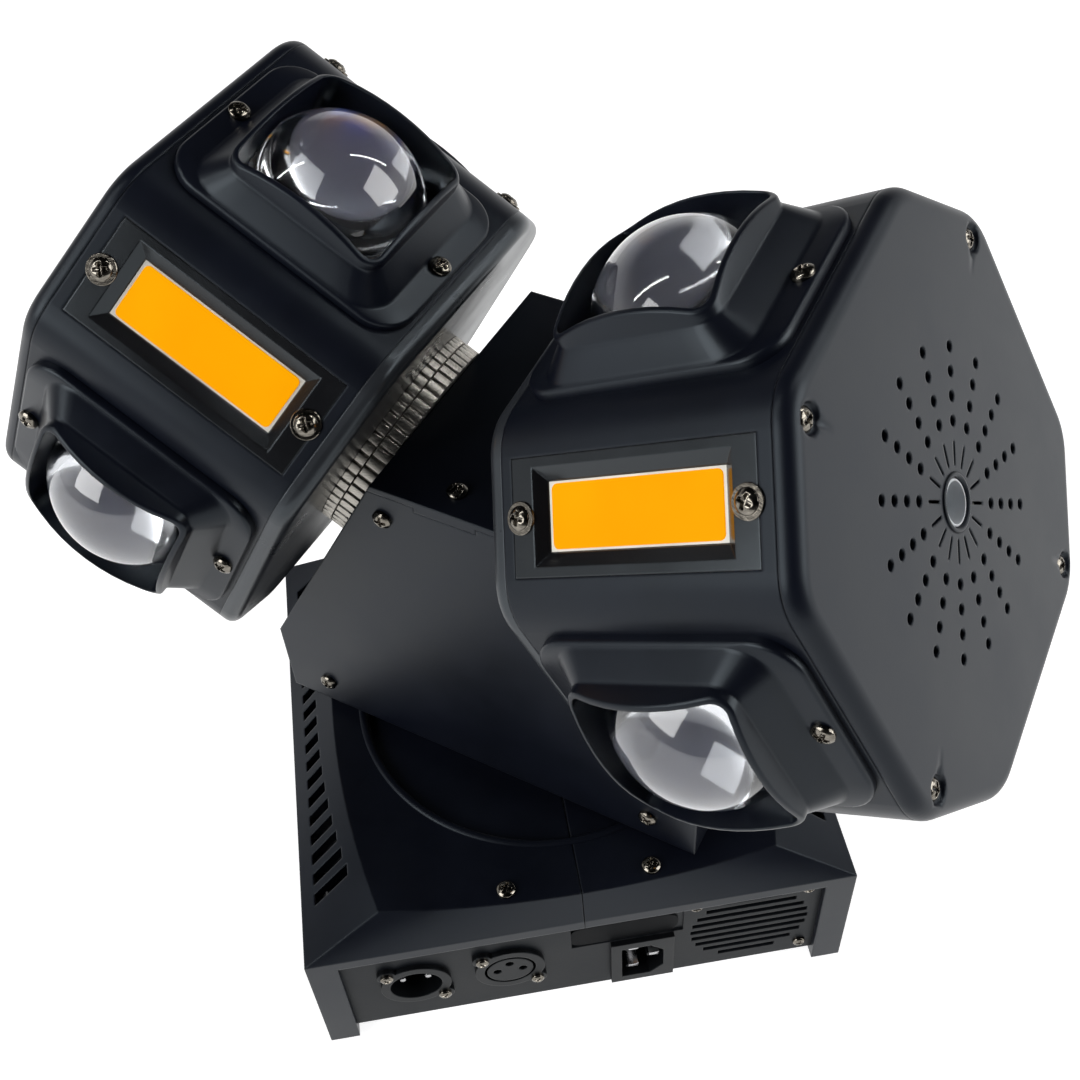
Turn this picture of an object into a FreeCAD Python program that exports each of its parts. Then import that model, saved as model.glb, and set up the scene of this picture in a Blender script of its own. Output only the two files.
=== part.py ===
import FreeCAD, Part
import math
import os

os.makedirs("parts", exist_ok=True)

# A two-head moving light. A base box carries a wedge-shaped arm that pans about a
# vertical axis, and the arm carries two four-sided lamp heads, each spinning about
# its own raised axis. All sizes in millimetres. X runs to the right of the connector
# side, Y away from it, Z up. The origin is where the pan axis meets the plane that
# the feet stand on.

# Clearances shared by the whole part
overrun = 5.0
face_gap = 0.3
running_gap = 0.05
seat_gap = 0.1
seam_gap = 0.3

# Rest pose, in degrees
pan_angle = -37.0
head_rise_angle = 29.0
right_spin_angle = -41.6
left_spin_angle = -45.1
full_turn = 360.0
half_turn = 180.0
quarter_turn = 90.0
eighth_turn = 45.0

# The cooling fan, which sets the height of the base box
fan_size = 50.0
fan_floor_gap = 0.5
fan_head_gap = 3.5

# Base cover
base_width = 200.0
base_depth = 190.0
foot_height = 8.0
plate_thickness = 2.0
fan_z = foot_height + plate_thickness + fan_floor_gap + fan_size / 2
skirt_top = fan_z + fan_size / 2 + fan_head_gap
slope_height = 14.5
cover_top = skirt_top + slope_height
cover_wall = 2.5
top_corner_inset_x = 28.7
top_corner_inset_y = 9.5
top_corner_x = base_width / 2 - top_corner_inset_x
top_corner_y = base_depth / 2 - top_corner_inset_y
side_bulge = 10.8
front_bulge = 6.0
dish_radius = 70.0
dish_depth = 3.0
dish_flare = 1.6
neck_radius = 30.0
neck_gap = 1.0
post_width = 11.0
foot_length = 14.0
foot_chamfer = 2.5
rim_height = 5.0
vent_count = 19
vent_pitch = 8.1
vent_width = 4.4
vent_inset = 5.5
vent_edge_gap = 7.0
vent_slant_angle = 23.0

# Chassis, a plate with a bridge that holds the pan bearing
bridge_half_width = 49.5
bridge_half_depth = 38.0
bridge_drop = 17.5
bridge_top = cover_top - bridge_drop
bridge_thickness = 3.0
bridge_wall = 2.5
mount_hole_radius = 3.3
mount_spacing_x = 140.0
mount_spacing_y = 110.0

# Panels at the front and the back
panel_thickness = 1.5
panel_margin = 3.0
panel_fit = 0.2
strip_width = 42.0
strip_height = 14.0
strip_z = 47.0
strip_depth = 0.8
strip_overhang = 3.5

# Three-pin signal sockets
socket_places_share = (-0.7135, -0.3202)
socket_z = 35.0
flange_radius = 13.0
flange_thickness = 1.8
ear_radius = 3.6
ear_place = 9.8
barrel_radius = 11.8
barrel_depth = 22.0
cavity_radius = 9.6
cavity_depth = 14.0
insert_radius = 8.6
pin_radius = 1.2
pin_circle = 4.75
pin_length = 11.0
pin_turns_share = (0.0, 0.25, 0.5)
pin_hole_radius = 1.6

# Power inlet
inlet_z = 24.5
inlet_width = 24.0
inlet_height = 30.0
inlet_bezel = 2.0
inlet_depth = 20.0
inlet_wall = 2.0
inlet_chamfer = 5.0
inlet_cavity_depth = 16.0
blade_width = 4.0
blade_thickness = 2.0
blade_length = 14.0
blade_pitch = 7.0
blade_step = 4.0

# Cooling fan
fan_side_gap = 1.5
fan_inlet_gap = 4.0
fan_depth = 15.0
fan_rim = 1.5
fan_bore_radius = fan_size / 2 - fan_rim
fan_hub_radius = 10.0
fan_back_thickness = 3.5
fan_strut_width = 3.0
fan_strut_count = 3
fan_blade_count = 7
fan_blade_gap = 0.9
fan_blade_radius = fan_bore_radius - fan_blade_gap
fan_blade_thickness = 1.4
fan_blade_pitch_angle = 38.0
fan_blade_height = 7.5
fan_shaft_radius = 1.5
fan_cup_height = 9.5
fan_corner = 4.0
grille_slot_count = 9
grille_slot_height = 2.6
grille_inset = 2.5
grille_margin = 2.9
grille_radius = fan_size / 2 - grille_inset
grille_pitch = 2 * (grille_radius - grille_margin) / (grille_slot_count - 1)

# Control panel
display_x = -28.0
display_z = 36.0
display_width = 44.0
display_height = 20.0
display_proud = 1.0
display_board_margin = 5.0
display_board_thickness = 6.0
button_half = 4.2
button_fit = 0.15
button_corner = 1.0
button_proud = 3.0
button_travel = 0.8
button_collar = 1.5
button_collar_thickness = 1.2
button_stem_half = 2.0
button_pitch = 18.0
button_x = 14.0
button_z = 36.0
button_carrier_thickness = 3.0

# Inner units of the base
supply_bridge_gap = 1.0
supply_side_gap = 5.5
supply_depth = 98.0
supply_height = 34.0
supply_y = 5.0
supply_chamfer = 3.0
board_bridge_gap = 2.5
board_side_gap = 4.0
board_depth = 80.0
board_thickness = 1.6
board_stand_off = 8.0
board_post_radius = 2.5
board_post_sides = 6
board_y = 22.0
board_chip_width = 16.0
board_chip_height = 3.0

# Motors, all of one size
motor_size = 42.0
motor_length = 30.0
motor_chamfer = 4.0
motor_boss_radius = 11.0
motor_boss_height = 1.6
motor_shaft_radius = 2.5
motor_shaft_length = 12.0
motor_plate_thickness = 2.0
pulley_gap = 2.0
pulley_height = 8.0
motor_pulley_radius = 8.0
belt_thickness = 1.4
belt_width = 5.0

# Pan drive
pan_motor_inset = 33.0
pan_motor_y = base_depth / 2 - pan_motor_inset
pan_pulley_radius = 36.0
pan_pulley_drop = 15.0
pan_pulley_base = bridge_top - pan_pulley_drop
spindle_radius = 20.0
spindle_bore_radius = 13.0
spindle_shoulder_radius = 24.0
pan_bearing_radius = 31.0
pan_bearing_flange_radius = 34.0
pan_bearing_flange_thickness = 2.0
pan_bearing_drop = 4.5
pan_bearing_rise = 4.0
pan_bearing_base = bridge_top - pan_bearing_drop
pan_bearing_top = bridge_top + pan_bearing_rise
spindle_flange_radius = 34.0
spindle_foot_height = 2.0

# Arm, seen from its front: a wedge with short upright sides and slanted shoulders
arm_lift = 5.5
arm_side_height = 34.0
axis_above_shoulder = 50.5
arm_top_above_axis = 50.5
arm_bottom = cover_top + arm_lift
arm_shoulder = arm_bottom + arm_side_height
head_axis_height = arm_shoulder + axis_above_shoulder
arm_top = head_axis_height + arm_top_above_axis
arm_front = 44.6
arm_back = 61.5
arm_wall = 2.5
lid_thickness = 2.5
lid_lip_depth = 4.5
lid_lip_wall = 2.0
tab_left = -13.4
tab_right = 8.5
tab_depth = 2.2
frame_half_depth = 34.0
frame_clearance = 0.5
frame_thickness = 2.5
frame_open_top = 7.0
motor_drop = 54.0
motor_plate_half_width = 25.0
motor_plate_top = 28.0
side_hole_gap = 1.0

# Pieces on a head axis, measured outwards from the pan axis
arm_face = 50.0
axle_start = 20.0
axle_radius = 12.0
axle_bore_radius = 8.0
axle_flange_radius = 28.0
axle_flange_thickness = 2.5
axle_flange_inset = 2.5
head_pulley_radius = 24.0
head_pulley_base = 28.0
bearing_radius = 22.0
bearing_start = 38.0
fin_ring_radius = 38.0
fixed_ring_end = 54.6
ring_gap = 0.5
head_start = 60.0
inner_cap_end = 66.0
drum_end = 151.0
head_end = 156.4
head_middle = 108.3
fin_count = 30
fin_depth = 3.0
fin_width_share = 0.5

# Head outline
lens_face_apothem = 77.0
strobe_face_apothem = 84.0
face_count = 4
outline_blend = 20.0
drum_wall = 2.5
cap_edge = 4.0
cap_wall = 2.5
vent_spokes = 16
vent_rings = 4
vent_ring_radius = 22.3
vent_ring_step = 6.8
vent_hole_radius = 1.5
vent_hole_sides = 6
hub_radius = 9.0
hub_bore_radius = 6.0
hub_height = 2.2
hub_slot_length = 6.0
hub_slot_width = 1.0
cap_screw_circle = 77.5
cap_screw_angle = 13.9
cap_screw_well_radius = 4.6
cap_screw_well_depth = 2.8

# Lens hoods
hood_flange_half_length = 41.0
hood_flange_half_width = 32.5
hood_flange_thickness = 3.0
hood_flange_corner = 12.0
hood_flange_chamfer = 1.2
hood_step_margin = 5.0
hood_step_height = 3.5
hood_tube_half = 26.0
hood_tube_corner = 6.0
hood_tube_wall = 1.8
hood_sphere_radius = 68.0
hood_sphere_centre = 32.0
hood_screw_offset = 36.9

# Lenses
lens_plate_thickness = 2.0
lens_sphere_radius = 24.0
lens_sphere_centre = 77.0
lens_window_half = 20.0

# Strobe windows
strobe_plate_length = 77.0
strobe_plate_width = 32.0
strobe_plate_thickness = 3.0
window_length = 63.0
window_width = 26.5
window_floor_length = 56.0
window_floor_width = 18.6
panel_board_length = 59.0
panel_board_width = 21.5
panel_board_thickness = 1.6
strobe_screw_offset = 35.7

# Lamp core, the aluminium star that carries the emitters
core_apothem = 38.0
core_bore_radius = 32.0
core_rib_width = 12.0
core_end = 146.0
emitter_size = 20.0
emitter_thickness = 2.5

# Screws
screw_head_radius = 3.3
screw_head_height = 2.2
screw_head_sides = 8
small_screw_radius = 2.4
small_screw_height = 1.6
arm_screw_top_x = 26.0
arm_screw_top_drop = 13.0
arm_screw_low_x = 67.0
arm_screw_low_rise = 12.0
lid_screw_x = -3.0
lid_screw_inset = 9.5
base_screw_x = 26.0
base_screw_inset = 6.0

vector = FreeCAD.Vector
zero = vector(0, 0, 0)
x_axis = vector(1, 0, 0)
y_axis = vector(0, 1, 0)
z_axis = vector(0, 0, 1)
base_half_width = base_width / 2
base_half_depth = base_depth / 2
opening_half = base_half_width - post_width
fan_x = opening_half - fan_side_gap - fan_size / 2
inlet_x = fan_x - fan_size / 2 - fan_inlet_gap - inlet_width / 2
socket_x = [share * opening_half for share in socket_places_share]
supply_width = base_half_width - supply_side_gap - bridge_half_width - supply_bridge_gap
supply_x = -bridge_half_width - supply_bridge_gap - supply_width / 2
board_width = base_half_width - board_side_gap - bridge_half_width - board_bridge_gap
board_x = bridge_half_width + board_bridge_gap + board_width / 2


def shoulder_edge(height):
    # The slanted shoulders stand square to the head axes, at the arm's face distance.
    rise = math.radians(head_rise_angle)
    return (arm_face - (height - head_axis_height) * math.sin(rise)) / math.cos(rise)


arm_half_width = shoulder_edge(arm_shoulder)
arm_top_half_width = shoulder_edge(arm_top)


# Plain helpers


def block(x0, x1, y0, y1, z0, z1):
    return Part.makeBox(x1 - x0, y1 - y0, z1 - z0, vector(x0, y0, z0))


def square_prism(half, z0, z1):
    return block(-half, half, -half, half, z0, z1)


def rod(radius, z0, z1):
    return Part.makeCylinder(radius, z1 - z0, vector(0, 0, z0))


def ring(outer, inner, z0, z1):
    return rod(outer, z0, z1).cut(rod(inner, z0 - overrun, z1 + overrun))


def moved(shape, x, y, z):
    result = shape.copy()
    result.translate(vector(x, y, z))
    return result


def turned(shape, axis, angle):
    result = shape.copy()
    result.rotate(zero, axis, angle)
    return result


def mirrored(shape, side_x, side_y):
    result = shape if side_x > 0 else shape.mirror(zero, x_axis)
    return result if side_y > 0 else result.mirror(zero, y_axis)


def prism(points, z0, z1):
    corners = [vector(x, y, z0) for x, y in points]
    face = Part.Face(Part.makePolygon(corners + corners[:1]))
    return face.extrude(vector(0, 0, z1 - z0))


def upright_prism(points, y0, y1):
    corners = [vector(x, y0, z) for x, z in points]
    face = Part.Face(Part.makePolygon(corners + corners[:1]))
    return face.extrude(vector(0, y1 - y0, 0))


def regular_prism(sides, radius, z0, z1):
    points = []
    for index in range(sides):
        angle = 2 * math.pi * index / sides
        points.append((radius * math.cos(angle), radius * math.sin(angle)))
    return prism(points, z0, z1)


def inset(points, distance):
    # Shifts every side of a convex outline, listed anticlockwise, inwards.
    count = len(points)
    result = []
    for index in range(count):
        before, here, after = points[index - 1], points[index], points[(index + 1) % count]
        first = unit(here[0] - before[0], here[1] - before[1])
        second = unit(after[0] - here[0], after[1] - here[1])
        bend = first[0] * second[1] - first[1] * second[0]
        along = distance * (1 - (first[0] * second[0] + first[1] * second[1])) / bend
        normal = (-first[1], first[0])
        x = here[0] + normal[0] * distance - first[0] * along
        z = here[1] + normal[1] * distance - first[1] * along
        result.append((x, z))
    return result


def unit(x, y):
    length = math.hypot(x, y)
    return x / length, y / length


def rounded_prism(half_x, half_y, radius, z0, z1):
    body = block(-half_x, half_x, -half_y, half_y, z0, z1)
    corners = [edge for edge in body.Edges if is_upright(edge)]
    return body.makeFillet(radius, corners)


def is_upright(edge):
    start, end = edge.Vertexes[0].Point, edge.Vertexes[-1].Point
    return math.hypot(start.x - end.x, start.y - end.y) < running_gap


def fused(shapes):
    return shapes[0].fuse(list(shapes[1:])).removeSplitter()


def save(node, shape):
    shape.exportStep("parts/" + node + ".step")


# Placing pieces in the arm and the heads


def in_arm(shape):
    return turned(shape, z_axis, pan_angle)


def in_side(shape, side):
    # A side's own frame has Z outwards along the head axis, Y to the arm's front.
    rise = math.radians(head_rise_angle)
    up = vector(-math.sin(rise), 0, math.cos(rise))
    out = vector(math.cos(rise), 0, math.sin(rise))
    rotation = FreeCAD.Rotation(up, vector(0, -1, 0), out, "ZXY")
    result = shape.copy()
    placement = FreeCAD.Placement(vector(0, 0, head_axis_height), rotation)
    result.Placement = placement.multiply(shape.Placement)
    if side == "left":
        result = turned(result, z_axis, half_turn)
    return result


def in_head(shape, side):
    spin = right_spin_angle if side == "right" else left_spin_angle
    return in_arm(in_side(turned(shape, z_axis, spin), side))


# Screws


def screw():
    return regular_prism(screw_head_sides, screw_head_radius, 0, screw_head_height)


def small_screw():
    return regular_prism(screw_head_sides, small_screw_radius, 0, small_screw_height)


# Base


def top_outline(corner_x, corner_y, bulge_x, bulge_y, height):
    corners = [(-corner_x, -corner_y), (corner_x, -corner_y), (corner_x, corner_y), (-corner_x, corner_y)]
    reach_x, reach_y = corner_x + bulge_x, corner_y + bulge_y
    middles = [(0, -reach_y), (reach_x, 0), (0, reach_y), (-reach_x, 0)]
    edges = []
    for index in range(len(corners)):
        start, middle, end = corners[index], middles[index], corners[(index + 1) % len(corners)]
        arc = Part.Arc(vector(*start, height), vector(*middle, height), vector(*end, height))
        edges.append(arc.toShape())
    return Part.Wire(edges)


def box_outline(half_x, half_y, height):
    points = [(-half_x, -half_y), (half_x, -half_y), (half_x, half_y), (-half_x, half_y)]
    corners = [vector(x, y, height) for x, y in points]
    return Part.makePolygon(corners + corners[:1])


def cover_hull(wall, drop, bottom):
    half_x, half_y = base_half_width - wall, base_half_depth - wall
    skirt = block(-half_x, half_x, -half_y, half_y, bottom, skirt_top - wall)
    lower = box_outline(half_x, half_y, skirt_top - wall)
    upper = top_outline(top_corner_x - wall, top_corner_y - wall, side_bulge, front_bulge, cover_top - drop)
    slope = Part.makeLoft([lower, upper], True, True)
    return skirt.fuse(slope)


def cover_edge(y):
    return top_corner_x + side_bulge * (1 - (y / top_corner_y) ** 2)


def vent_slot(y):
    outer = base_half_width - vent_inset
    inner = cover_edge(y) + vent_edge_gap
    back = (outer - inner) * math.tan(math.radians(vent_slant_angle))
    points = [(outer, y), (outer, y + vent_width), (inner, y + vent_width + back), (inner, y + back)]
    return prism(points, skirt_top - cover_wall, cover_top)


def vent_slots():
    slots = []
    first = -(vent_count - 1) / 2 * vent_pitch
    for index in range(vent_count):
        slot = vent_slot(first + index * vent_pitch)
        slots.append(slot)
        slots.append(slot.mirror(zero, x_axis))
    return slots


def feet():
    pieces = []
    for side_x in (-1, 1):
        for side_y in (-1, 1):
            x = side_x * (base_half_width - post_width / 2)
            y = side_y * (base_half_depth - foot_length / 2)
            foot = block(-post_width / 2, post_width / 2, -foot_length / 2, foot_length / 2, 0, foot_height)
            lowest = [edge for edge in foot.Edges if edge.BoundBox.ZMax < running_gap]
            pieces.append(moved(foot.makeChamfer(foot_chamfer, lowest), x, y, 0))
    return pieces


def base_cover():
    drop = dish_depth + cover_wall
    cover = cover_hull(0, 0, foot_height).cut(cover_hull(cover_wall, drop, foot_height - overrun))
    flare = dish_radius - dish_flare
    dish = Part.makeCone(flare, dish_radius, dish_depth, vector(0, 0, cover_top - dish_depth))
    opening = block(
        -opening_half, opening_half,
        -base_half_depth - overrun, base_half_depth + overrun,
        foot_height - overrun, skirt_top - rim_height,
    )
    cover = cover.cut([dish, rod(neck_radius + neck_gap, skirt_top, cover_top), opening] + vent_slots())
    return cover.fuse(feet()).removeSplitter()


def base_screw_shapes(shape):
    y = top_corner_y + front_bulge - base_screw_inset
    shapes = panel_screw_shapes()
    for side_x in (-1, 1):
        for side_y in (-1, 1):
            shapes.append(moved(shape, side_x * base_screw_x, side_y * y, cover_top))
    return shapes


def base_shells():
    cover = base_cover()
    span = base_half_width + overrun
    right_side = block(seam_gap / 2, span, -span, span, -overrun, cover_top + overrun)
    save("base_shell_right", cover.common(right_side))
    save("base_shell_left", cover.common(right_side.mirror(zero, x_axis)))
    save("base_screws", Part.makeCompound(base_screw_shapes(screw())))


def panel_screw_shapes():
    shapes = []
    for socket in socket_x:
        for side in (-1, 1):
            x, z = socket + side * ear_place, socket_z - side * ear_place
            shapes.append(through_panel(moved(small_screw(), 0, 0, flange_thickness), x, z))
    reach = fan_size / 2 - fan_corner
    for side_x, side_z in ((-1, 1), (1, 1), (1, -1)):
        shapes.append(through_panel(small_screw(), fan_x + side_x * reach, fan_z + side_z * reach))
    return shapes


def bearing_seat_radius():
    return pan_bearing_radius + running_gap


def base_chassis():
    half_x = base_half_width - cover_wall - panel_fit
    half_y = base_half_depth - cover_wall - panel_thickness - panel_fit
    floor_top = foot_height + plate_thickness
    floor = block(-half_x, half_x, -half_y, half_y, foot_height, floor_top)
    outer = block(
        -bridge_half_width, bridge_half_width, -bridge_half_depth, bridge_half_depth, floor_top, bridge_top
    )
    inner_half = bridge_half_width - bridge_wall
    span = bridge_half_depth + overrun
    inner = block(-inner_half, inner_half, -span, span, floor_top, bridge_top - bridge_thickness)
    seat = rod(bearing_seat_radius(), bridge_top - bridge_thickness - overrun, bridge_top + overrun)
    chassis = floor.fuse(outer.cut([inner, seat]))
    holes = []
    for side_x in (-1, 1):
        for side_y in (-1, 1):
            hole = rod(mount_hole_radius, foot_height - overrun, floor_top + overrun)
            holes.append(moved(hole, side_x * mount_spacing_x / 2, side_y * mount_spacing_y / 2, 0))
            corner = block(opening_half - panel_fit, base_half_width, -foot_length - panel_fit, 0,
                           foot_height - overrun, floor_top + overrun)
            corner = moved(corner, 0, base_half_depth, 0)
            holes.append(mirrored(corner, side_x, side_y))
    save("base_chassis", chassis.cut(holes).removeSplitter())


def panel_blank():
    half_x = opening_half + panel_margin
    top = skirt_top - cover_wall - panel_fit
    front = -base_half_depth + cover_wall
    return block(-half_x, half_x, front, front + panel_thickness, foot_height, top)


def through_panel(shape, x, z):
    # Takes a shape that stands on Z and lays it through the front panel.
    laid = turned(shape, x_axis, quarter_turn)
    return moved(laid, x, -base_half_depth + cover_wall, z)


def fan_slots():
    slots = []
    for index in range(grille_slot_count):
        z = (index - (grille_slot_count - 1) / 2) * grille_pitch
        half = math.sqrt(grille_radius ** 2 - z ** 2)
        slot = block(-half, half, z - grille_slot_height / 2, z + grille_slot_height / 2, -overrun, overrun)
        slots.append(through_panel(slot, fan_x, fan_z))
    return slots


def strip_recess():
    half_x, half_z = strip_width / 2, strip_height / 2
    strip_x = inlet_x + inlet_width / 2 + strip_overhang - half_x
    return through_panel(block(-half_x, half_x, -half_z, half_z, -strip_depth, overrun), strip_x, strip_z)


def connector_panel():
    panel = panel_blank()
    barrel = rod(barrel_radius + seat_gap, -overrun, overrun)
    cuts = [through_panel(barrel, x, socket_z) for x in socket_x]
    inlet_hole = prism(inset(inlet_outline(0), -seat_gap), -overrun, overrun)
    cuts.append(through_panel(inlet_hole, inlet_x, inlet_z))
    save("connector_panel", panel.cut(cuts + fan_slots() + [strip_recess()]))


def inlet_outline(shrink):
    half_x, half_z = inlet_width / 2 - inlet_bezel - shrink, inlet_height / 2 - inlet_bezel - shrink
    cut = inlet_chamfer
    return [
        (-half_x, -half_z), (half_x - cut, -half_z), (half_x, -half_z + cut),
        (half_x, half_z - cut), (half_x - cut, half_z), (-half_x, half_z),
    ]


def power_inlet():
    half_x, half_z = inlet_width / 2, inlet_height / 2
    bezel = block(-half_x, half_x, -half_z, half_z, 0, inlet_bezel)
    body = prism(inlet_outline(0), -inlet_depth, 0)
    cavity = prism(inlet_outline(inlet_wall), inlet_bezel - inlet_cavity_depth, inlet_bezel + overrun)
    blades = []
    for step_x, step_z in ((-blade_step, -1), (blade_step, 0), (-blade_step, 1)):
        blade = block(
            step_x - blade_width / 2, step_x + blade_width / 2,
            step_z * blade_pitch - blade_thickness / 2, step_z * blade_pitch + blade_thickness / 2,
            inlet_bezel - inlet_cavity_depth, inlet_bezel - inlet_cavity_depth + blade_length,
        )
        blades.append(blade)
    inlet = fused([bezel, body]).cut(cavity).fuse(blades).removeSplitter()
    save("power_inlet", through_panel(inlet, inlet_x, inlet_z))


def pin_places(radius):
    places = []
    for share in pin_turns_share:
        angle = 2 * math.pi * share
        places.append((-radius * math.cos(angle), radius * math.sin(angle)))
    return places


def socket_body():
    ear = rod(ear_radius, 0, flange_thickness)
    ears = [moved(ear, side * ear_place, -side * ear_place, 0) for side in (-1, 1)]
    return fused([rod(flange_radius, 0, flange_thickness), rod(barrel_radius, -barrel_depth, 0)] + ears)


def signal_sockets():
    cavity = rod(cavity_radius, flange_thickness - cavity_depth, flange_thickness + overrun)
    male = socket_body().cut(cavity)
    pins = []
    for x, z in pin_places(pin_circle):
        start = flange_thickness - cavity_depth
        pins.append(moved(rod(pin_radius, start, start + pin_length), x, z, 0))
    male = male.fuse(pins).removeSplitter()
    save("signal_inlet", through_panel(male, socket_x[0], socket_z))
    groove = ring(cavity_radius, insert_radius, flange_thickness - cavity_depth, flange_thickness + overrun)
    holes = []
    for x, z in pin_places(pin_circle):
        hole = rod(pin_hole_radius, flange_thickness - pin_length, flange_thickness + overrun)
        holes.append(moved(hole, x, z, 0))
    female = socket_body().cut([groove] + holes)
    save("signal_outlet", through_panel(female, socket_x[1], socket_z))


def fan_frame():
    half = fan_size / 2
    frame = rounded_prism(half, half, fan_corner, -fan_depth, 0)
    frame = frame.cut(rod(fan_bore_radius, -fan_depth - overrun, overrun))
    hub = rod(fan_hub_radius, -fan_depth, -fan_depth + fan_back_thickness)
    struts = []
    for index in range(fan_strut_count):
        reach = fan_bore_radius + fan_corner / 2
        strut = block(0, reach, -fan_strut_width / 2, fan_strut_width / 2,
                      -fan_depth, -fan_depth + fan_back_thickness)
        struts.append(turned(strut, z_axis, full_turn * index / fan_strut_count))
    bearing = rod(fan_shaft_radius + running_gap, -fan_depth - overrun, 0)
    frame = fused([frame, hub] + struts).cut(bearing)
    save("fan_frame", behind_panel(frame, fan_x, fan_z))


def behind_panel(shape, x, z):
    return moved(through_panel(shape, x, z), 0, panel_thickness, 0)


def fan_rotor():
    start = -fan_depth + fan_back_thickness + face_gap
    hub = rod(fan_hub_radius, start, start + fan_cup_height)
    shaft = rod(fan_shaft_radius, -fan_depth, start)
    blades = []
    middle = start + fan_cup_height / 2
    for index in range(fan_blade_count):
        blade = block(
            fan_hub_radius - fan_shaft_radius, fan_blade_radius,
            -fan_blade_height / 2, fan_blade_height / 2,
            -fan_blade_thickness / 2, fan_blade_thickness / 2,
        )
        blade = turned(blade, x_axis, fan_blade_pitch_angle)
        blade = moved(blade, 0, 0, middle)
        blades.append(turned(blade, z_axis, full_turn * index / fan_blade_count))
    save("fan_rotor", behind_panel(fused([hub, shaft] + blades), fan_x, fan_z))


def at_back(shape, x, z):
    # Takes a shape that stands on Z and lays it through the rear panel, facing back.
    laid = turned(shape, x_axis, -quarter_turn)
    return moved(laid, x, base_half_depth - cover_wall, z)


def button_places():
    columns = (button_x, button_x + button_pitch)
    rows = (button_z + button_pitch / 2, button_z - button_pitch / 2)
    return [(x, z) for z in rows for x in columns]


def control_panel():
    panel = panel_blank().mirror(zero, y_axis)
    half_x, half_z = display_width / 2 + seat_gap, display_height / 2 + seat_gap
    cuts = [at_back(block(-half_x, half_x, -half_z, half_z, -overrun, overrun), display_x, display_z)]
    hole = square_prism(button_half + button_fit, -overrun, overrun)
    cuts += [at_back(hole, x, z) for x, z in button_places()]
    save("control_panel", panel.cut(cuts))


def carrier_front():
    return -panel_thickness - button_travel - button_collar_thickness - face_gap


def display_module():
    half_x, half_z = display_width / 2, display_height / 2
    window = block(-half_x, half_x, -half_z, half_z, -panel_thickness, display_proud)
    wide_x, wide_z = half_x + display_board_margin, half_z + display_board_margin
    back = -panel_thickness - display_board_thickness
    body = block(-wide_x, wide_x, -wide_z, wide_z, back, -panel_thickness)
    module = at_back(window.fuse(body), display_x, display_z)
    front = carrier_front()
    high = button_pitch / 2 + button_half + button_collar
    carrier = block(
        button_x - high, button_x + button_pitch + high, button_z - high, button_z + high,
        front - button_carrier_thickness, front,
    )
    link = block(
        display_x, button_x, button_z - half_z, button_z + half_z,
        front - button_carrier_thickness, front,
    )
    stem = square_prism(button_stem_half + button_fit, front - overrun, front + overrun)
    stems = [at_back(stem, x, z) for x, z in button_places()]
    board = at_back(carrier.fuse(link).mirror(zero, y_axis), 0, 0)
    save("display_module", fused([module, board]).cut(stems))


def button():
    cap = square_prism(button_half, -panel_thickness, button_proud)
    cap = cap.makeChamfer(button_corner, [edge for edge in cap.Edges if is_upright(edge)])
    wide = button_half + button_collar
    collar = square_prism(wide, -panel_thickness - button_collar_thickness, -panel_thickness)
    stem_end = carrier_front() - button_carrier_thickness
    stem = square_prism(button_stem_half, stem_end, -panel_thickness)
    return fused([cap, collar, stem])


def buttons():
    for index, (x, z) in enumerate(button_places()):
        save("button_" + str(index + 1), at_back(button(), x, z))


def power_supply():
    floor = foot_height + plate_thickness
    half_x, half_y = supply_width / 2, supply_depth / 2
    unit_box = block(-half_x, half_x, -half_y, half_y, floor, floor + supply_height)
    upper = [edge for edge in unit_box.Edges if edge.BoundBox.ZMin > floor + supply_height - running_gap]
    save("power_supply", moved(unit_box.makeChamfer(supply_chamfer, upper), supply_x, supply_y, 0))


def control_board():
    floor = foot_height + plate_thickness
    half_x, half_y = board_width / 2, board_depth / 2
    level = floor + board_stand_off
    pieces = [block(-half_x, half_x, -half_y, half_y, level, level + board_thickness)]
    for side_x in (-1, 1):
        for side_y in (-1, 1):
            x = side_x * (half_x - 2 * board_post_radius)
            y = side_y * (half_y - 2 * board_post_radius)
            pieces.append(moved(regular_prism(board_post_sides, board_post_radius, floor, level), x, y, 0))
    chip = board_chip_width / 2
    top = level + board_thickness
    pieces.append(block(-chip, chip, -chip, chip, top, top + board_chip_height))
    save("control_board", moved(fused(pieces), board_x, board_y, 0))


# Drives


def motor():
    # The mounting face lies at zero and the shaft points along Z.
    half = motor_size / 2
    body = block(-half, half, -half, half, -motor_length, 0)
    body = body.makeChamfer(motor_chamfer, [edge for edge in body.Edges if is_upright(edge)])
    boss = rod(motor_boss_radius, 0, motor_boss_height)
    shaft = rod(motor_shaft_radius, 0, motor_shaft_length)
    return fused([body, boss, shaft])


def pulley(radius, bore):
    return ring(radius, bore, 0, pulley_height)


def loop_face(large, small, distance, z):
    # The outline of a belt round two pulleys, the small one at +X.
    lean = math.asin((large - small) / distance)
    sine, cosine = math.sin(lean), math.cos(lean)
    big_up, big_down = vector(large * sine, large * cosine, z), vector(large * sine, -large * cosine, z)
    far = distance + small * sine
    small_up, small_down = vector(far, small * cosine, z), vector(far, -small * cosine, z)
    edges = [
        Part.Arc(big_up, vector(-large, 0, z), big_down).toShape(),
        Part.LineSegment(big_down, small_down).toShape(),
        Part.Arc(small_down, vector(distance + small, 0, z), small_up).toShape(),
        Part.LineSegment(small_up, big_up).toShape(),
    ]
    return Part.Face(Part.Wire(edges))


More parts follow.
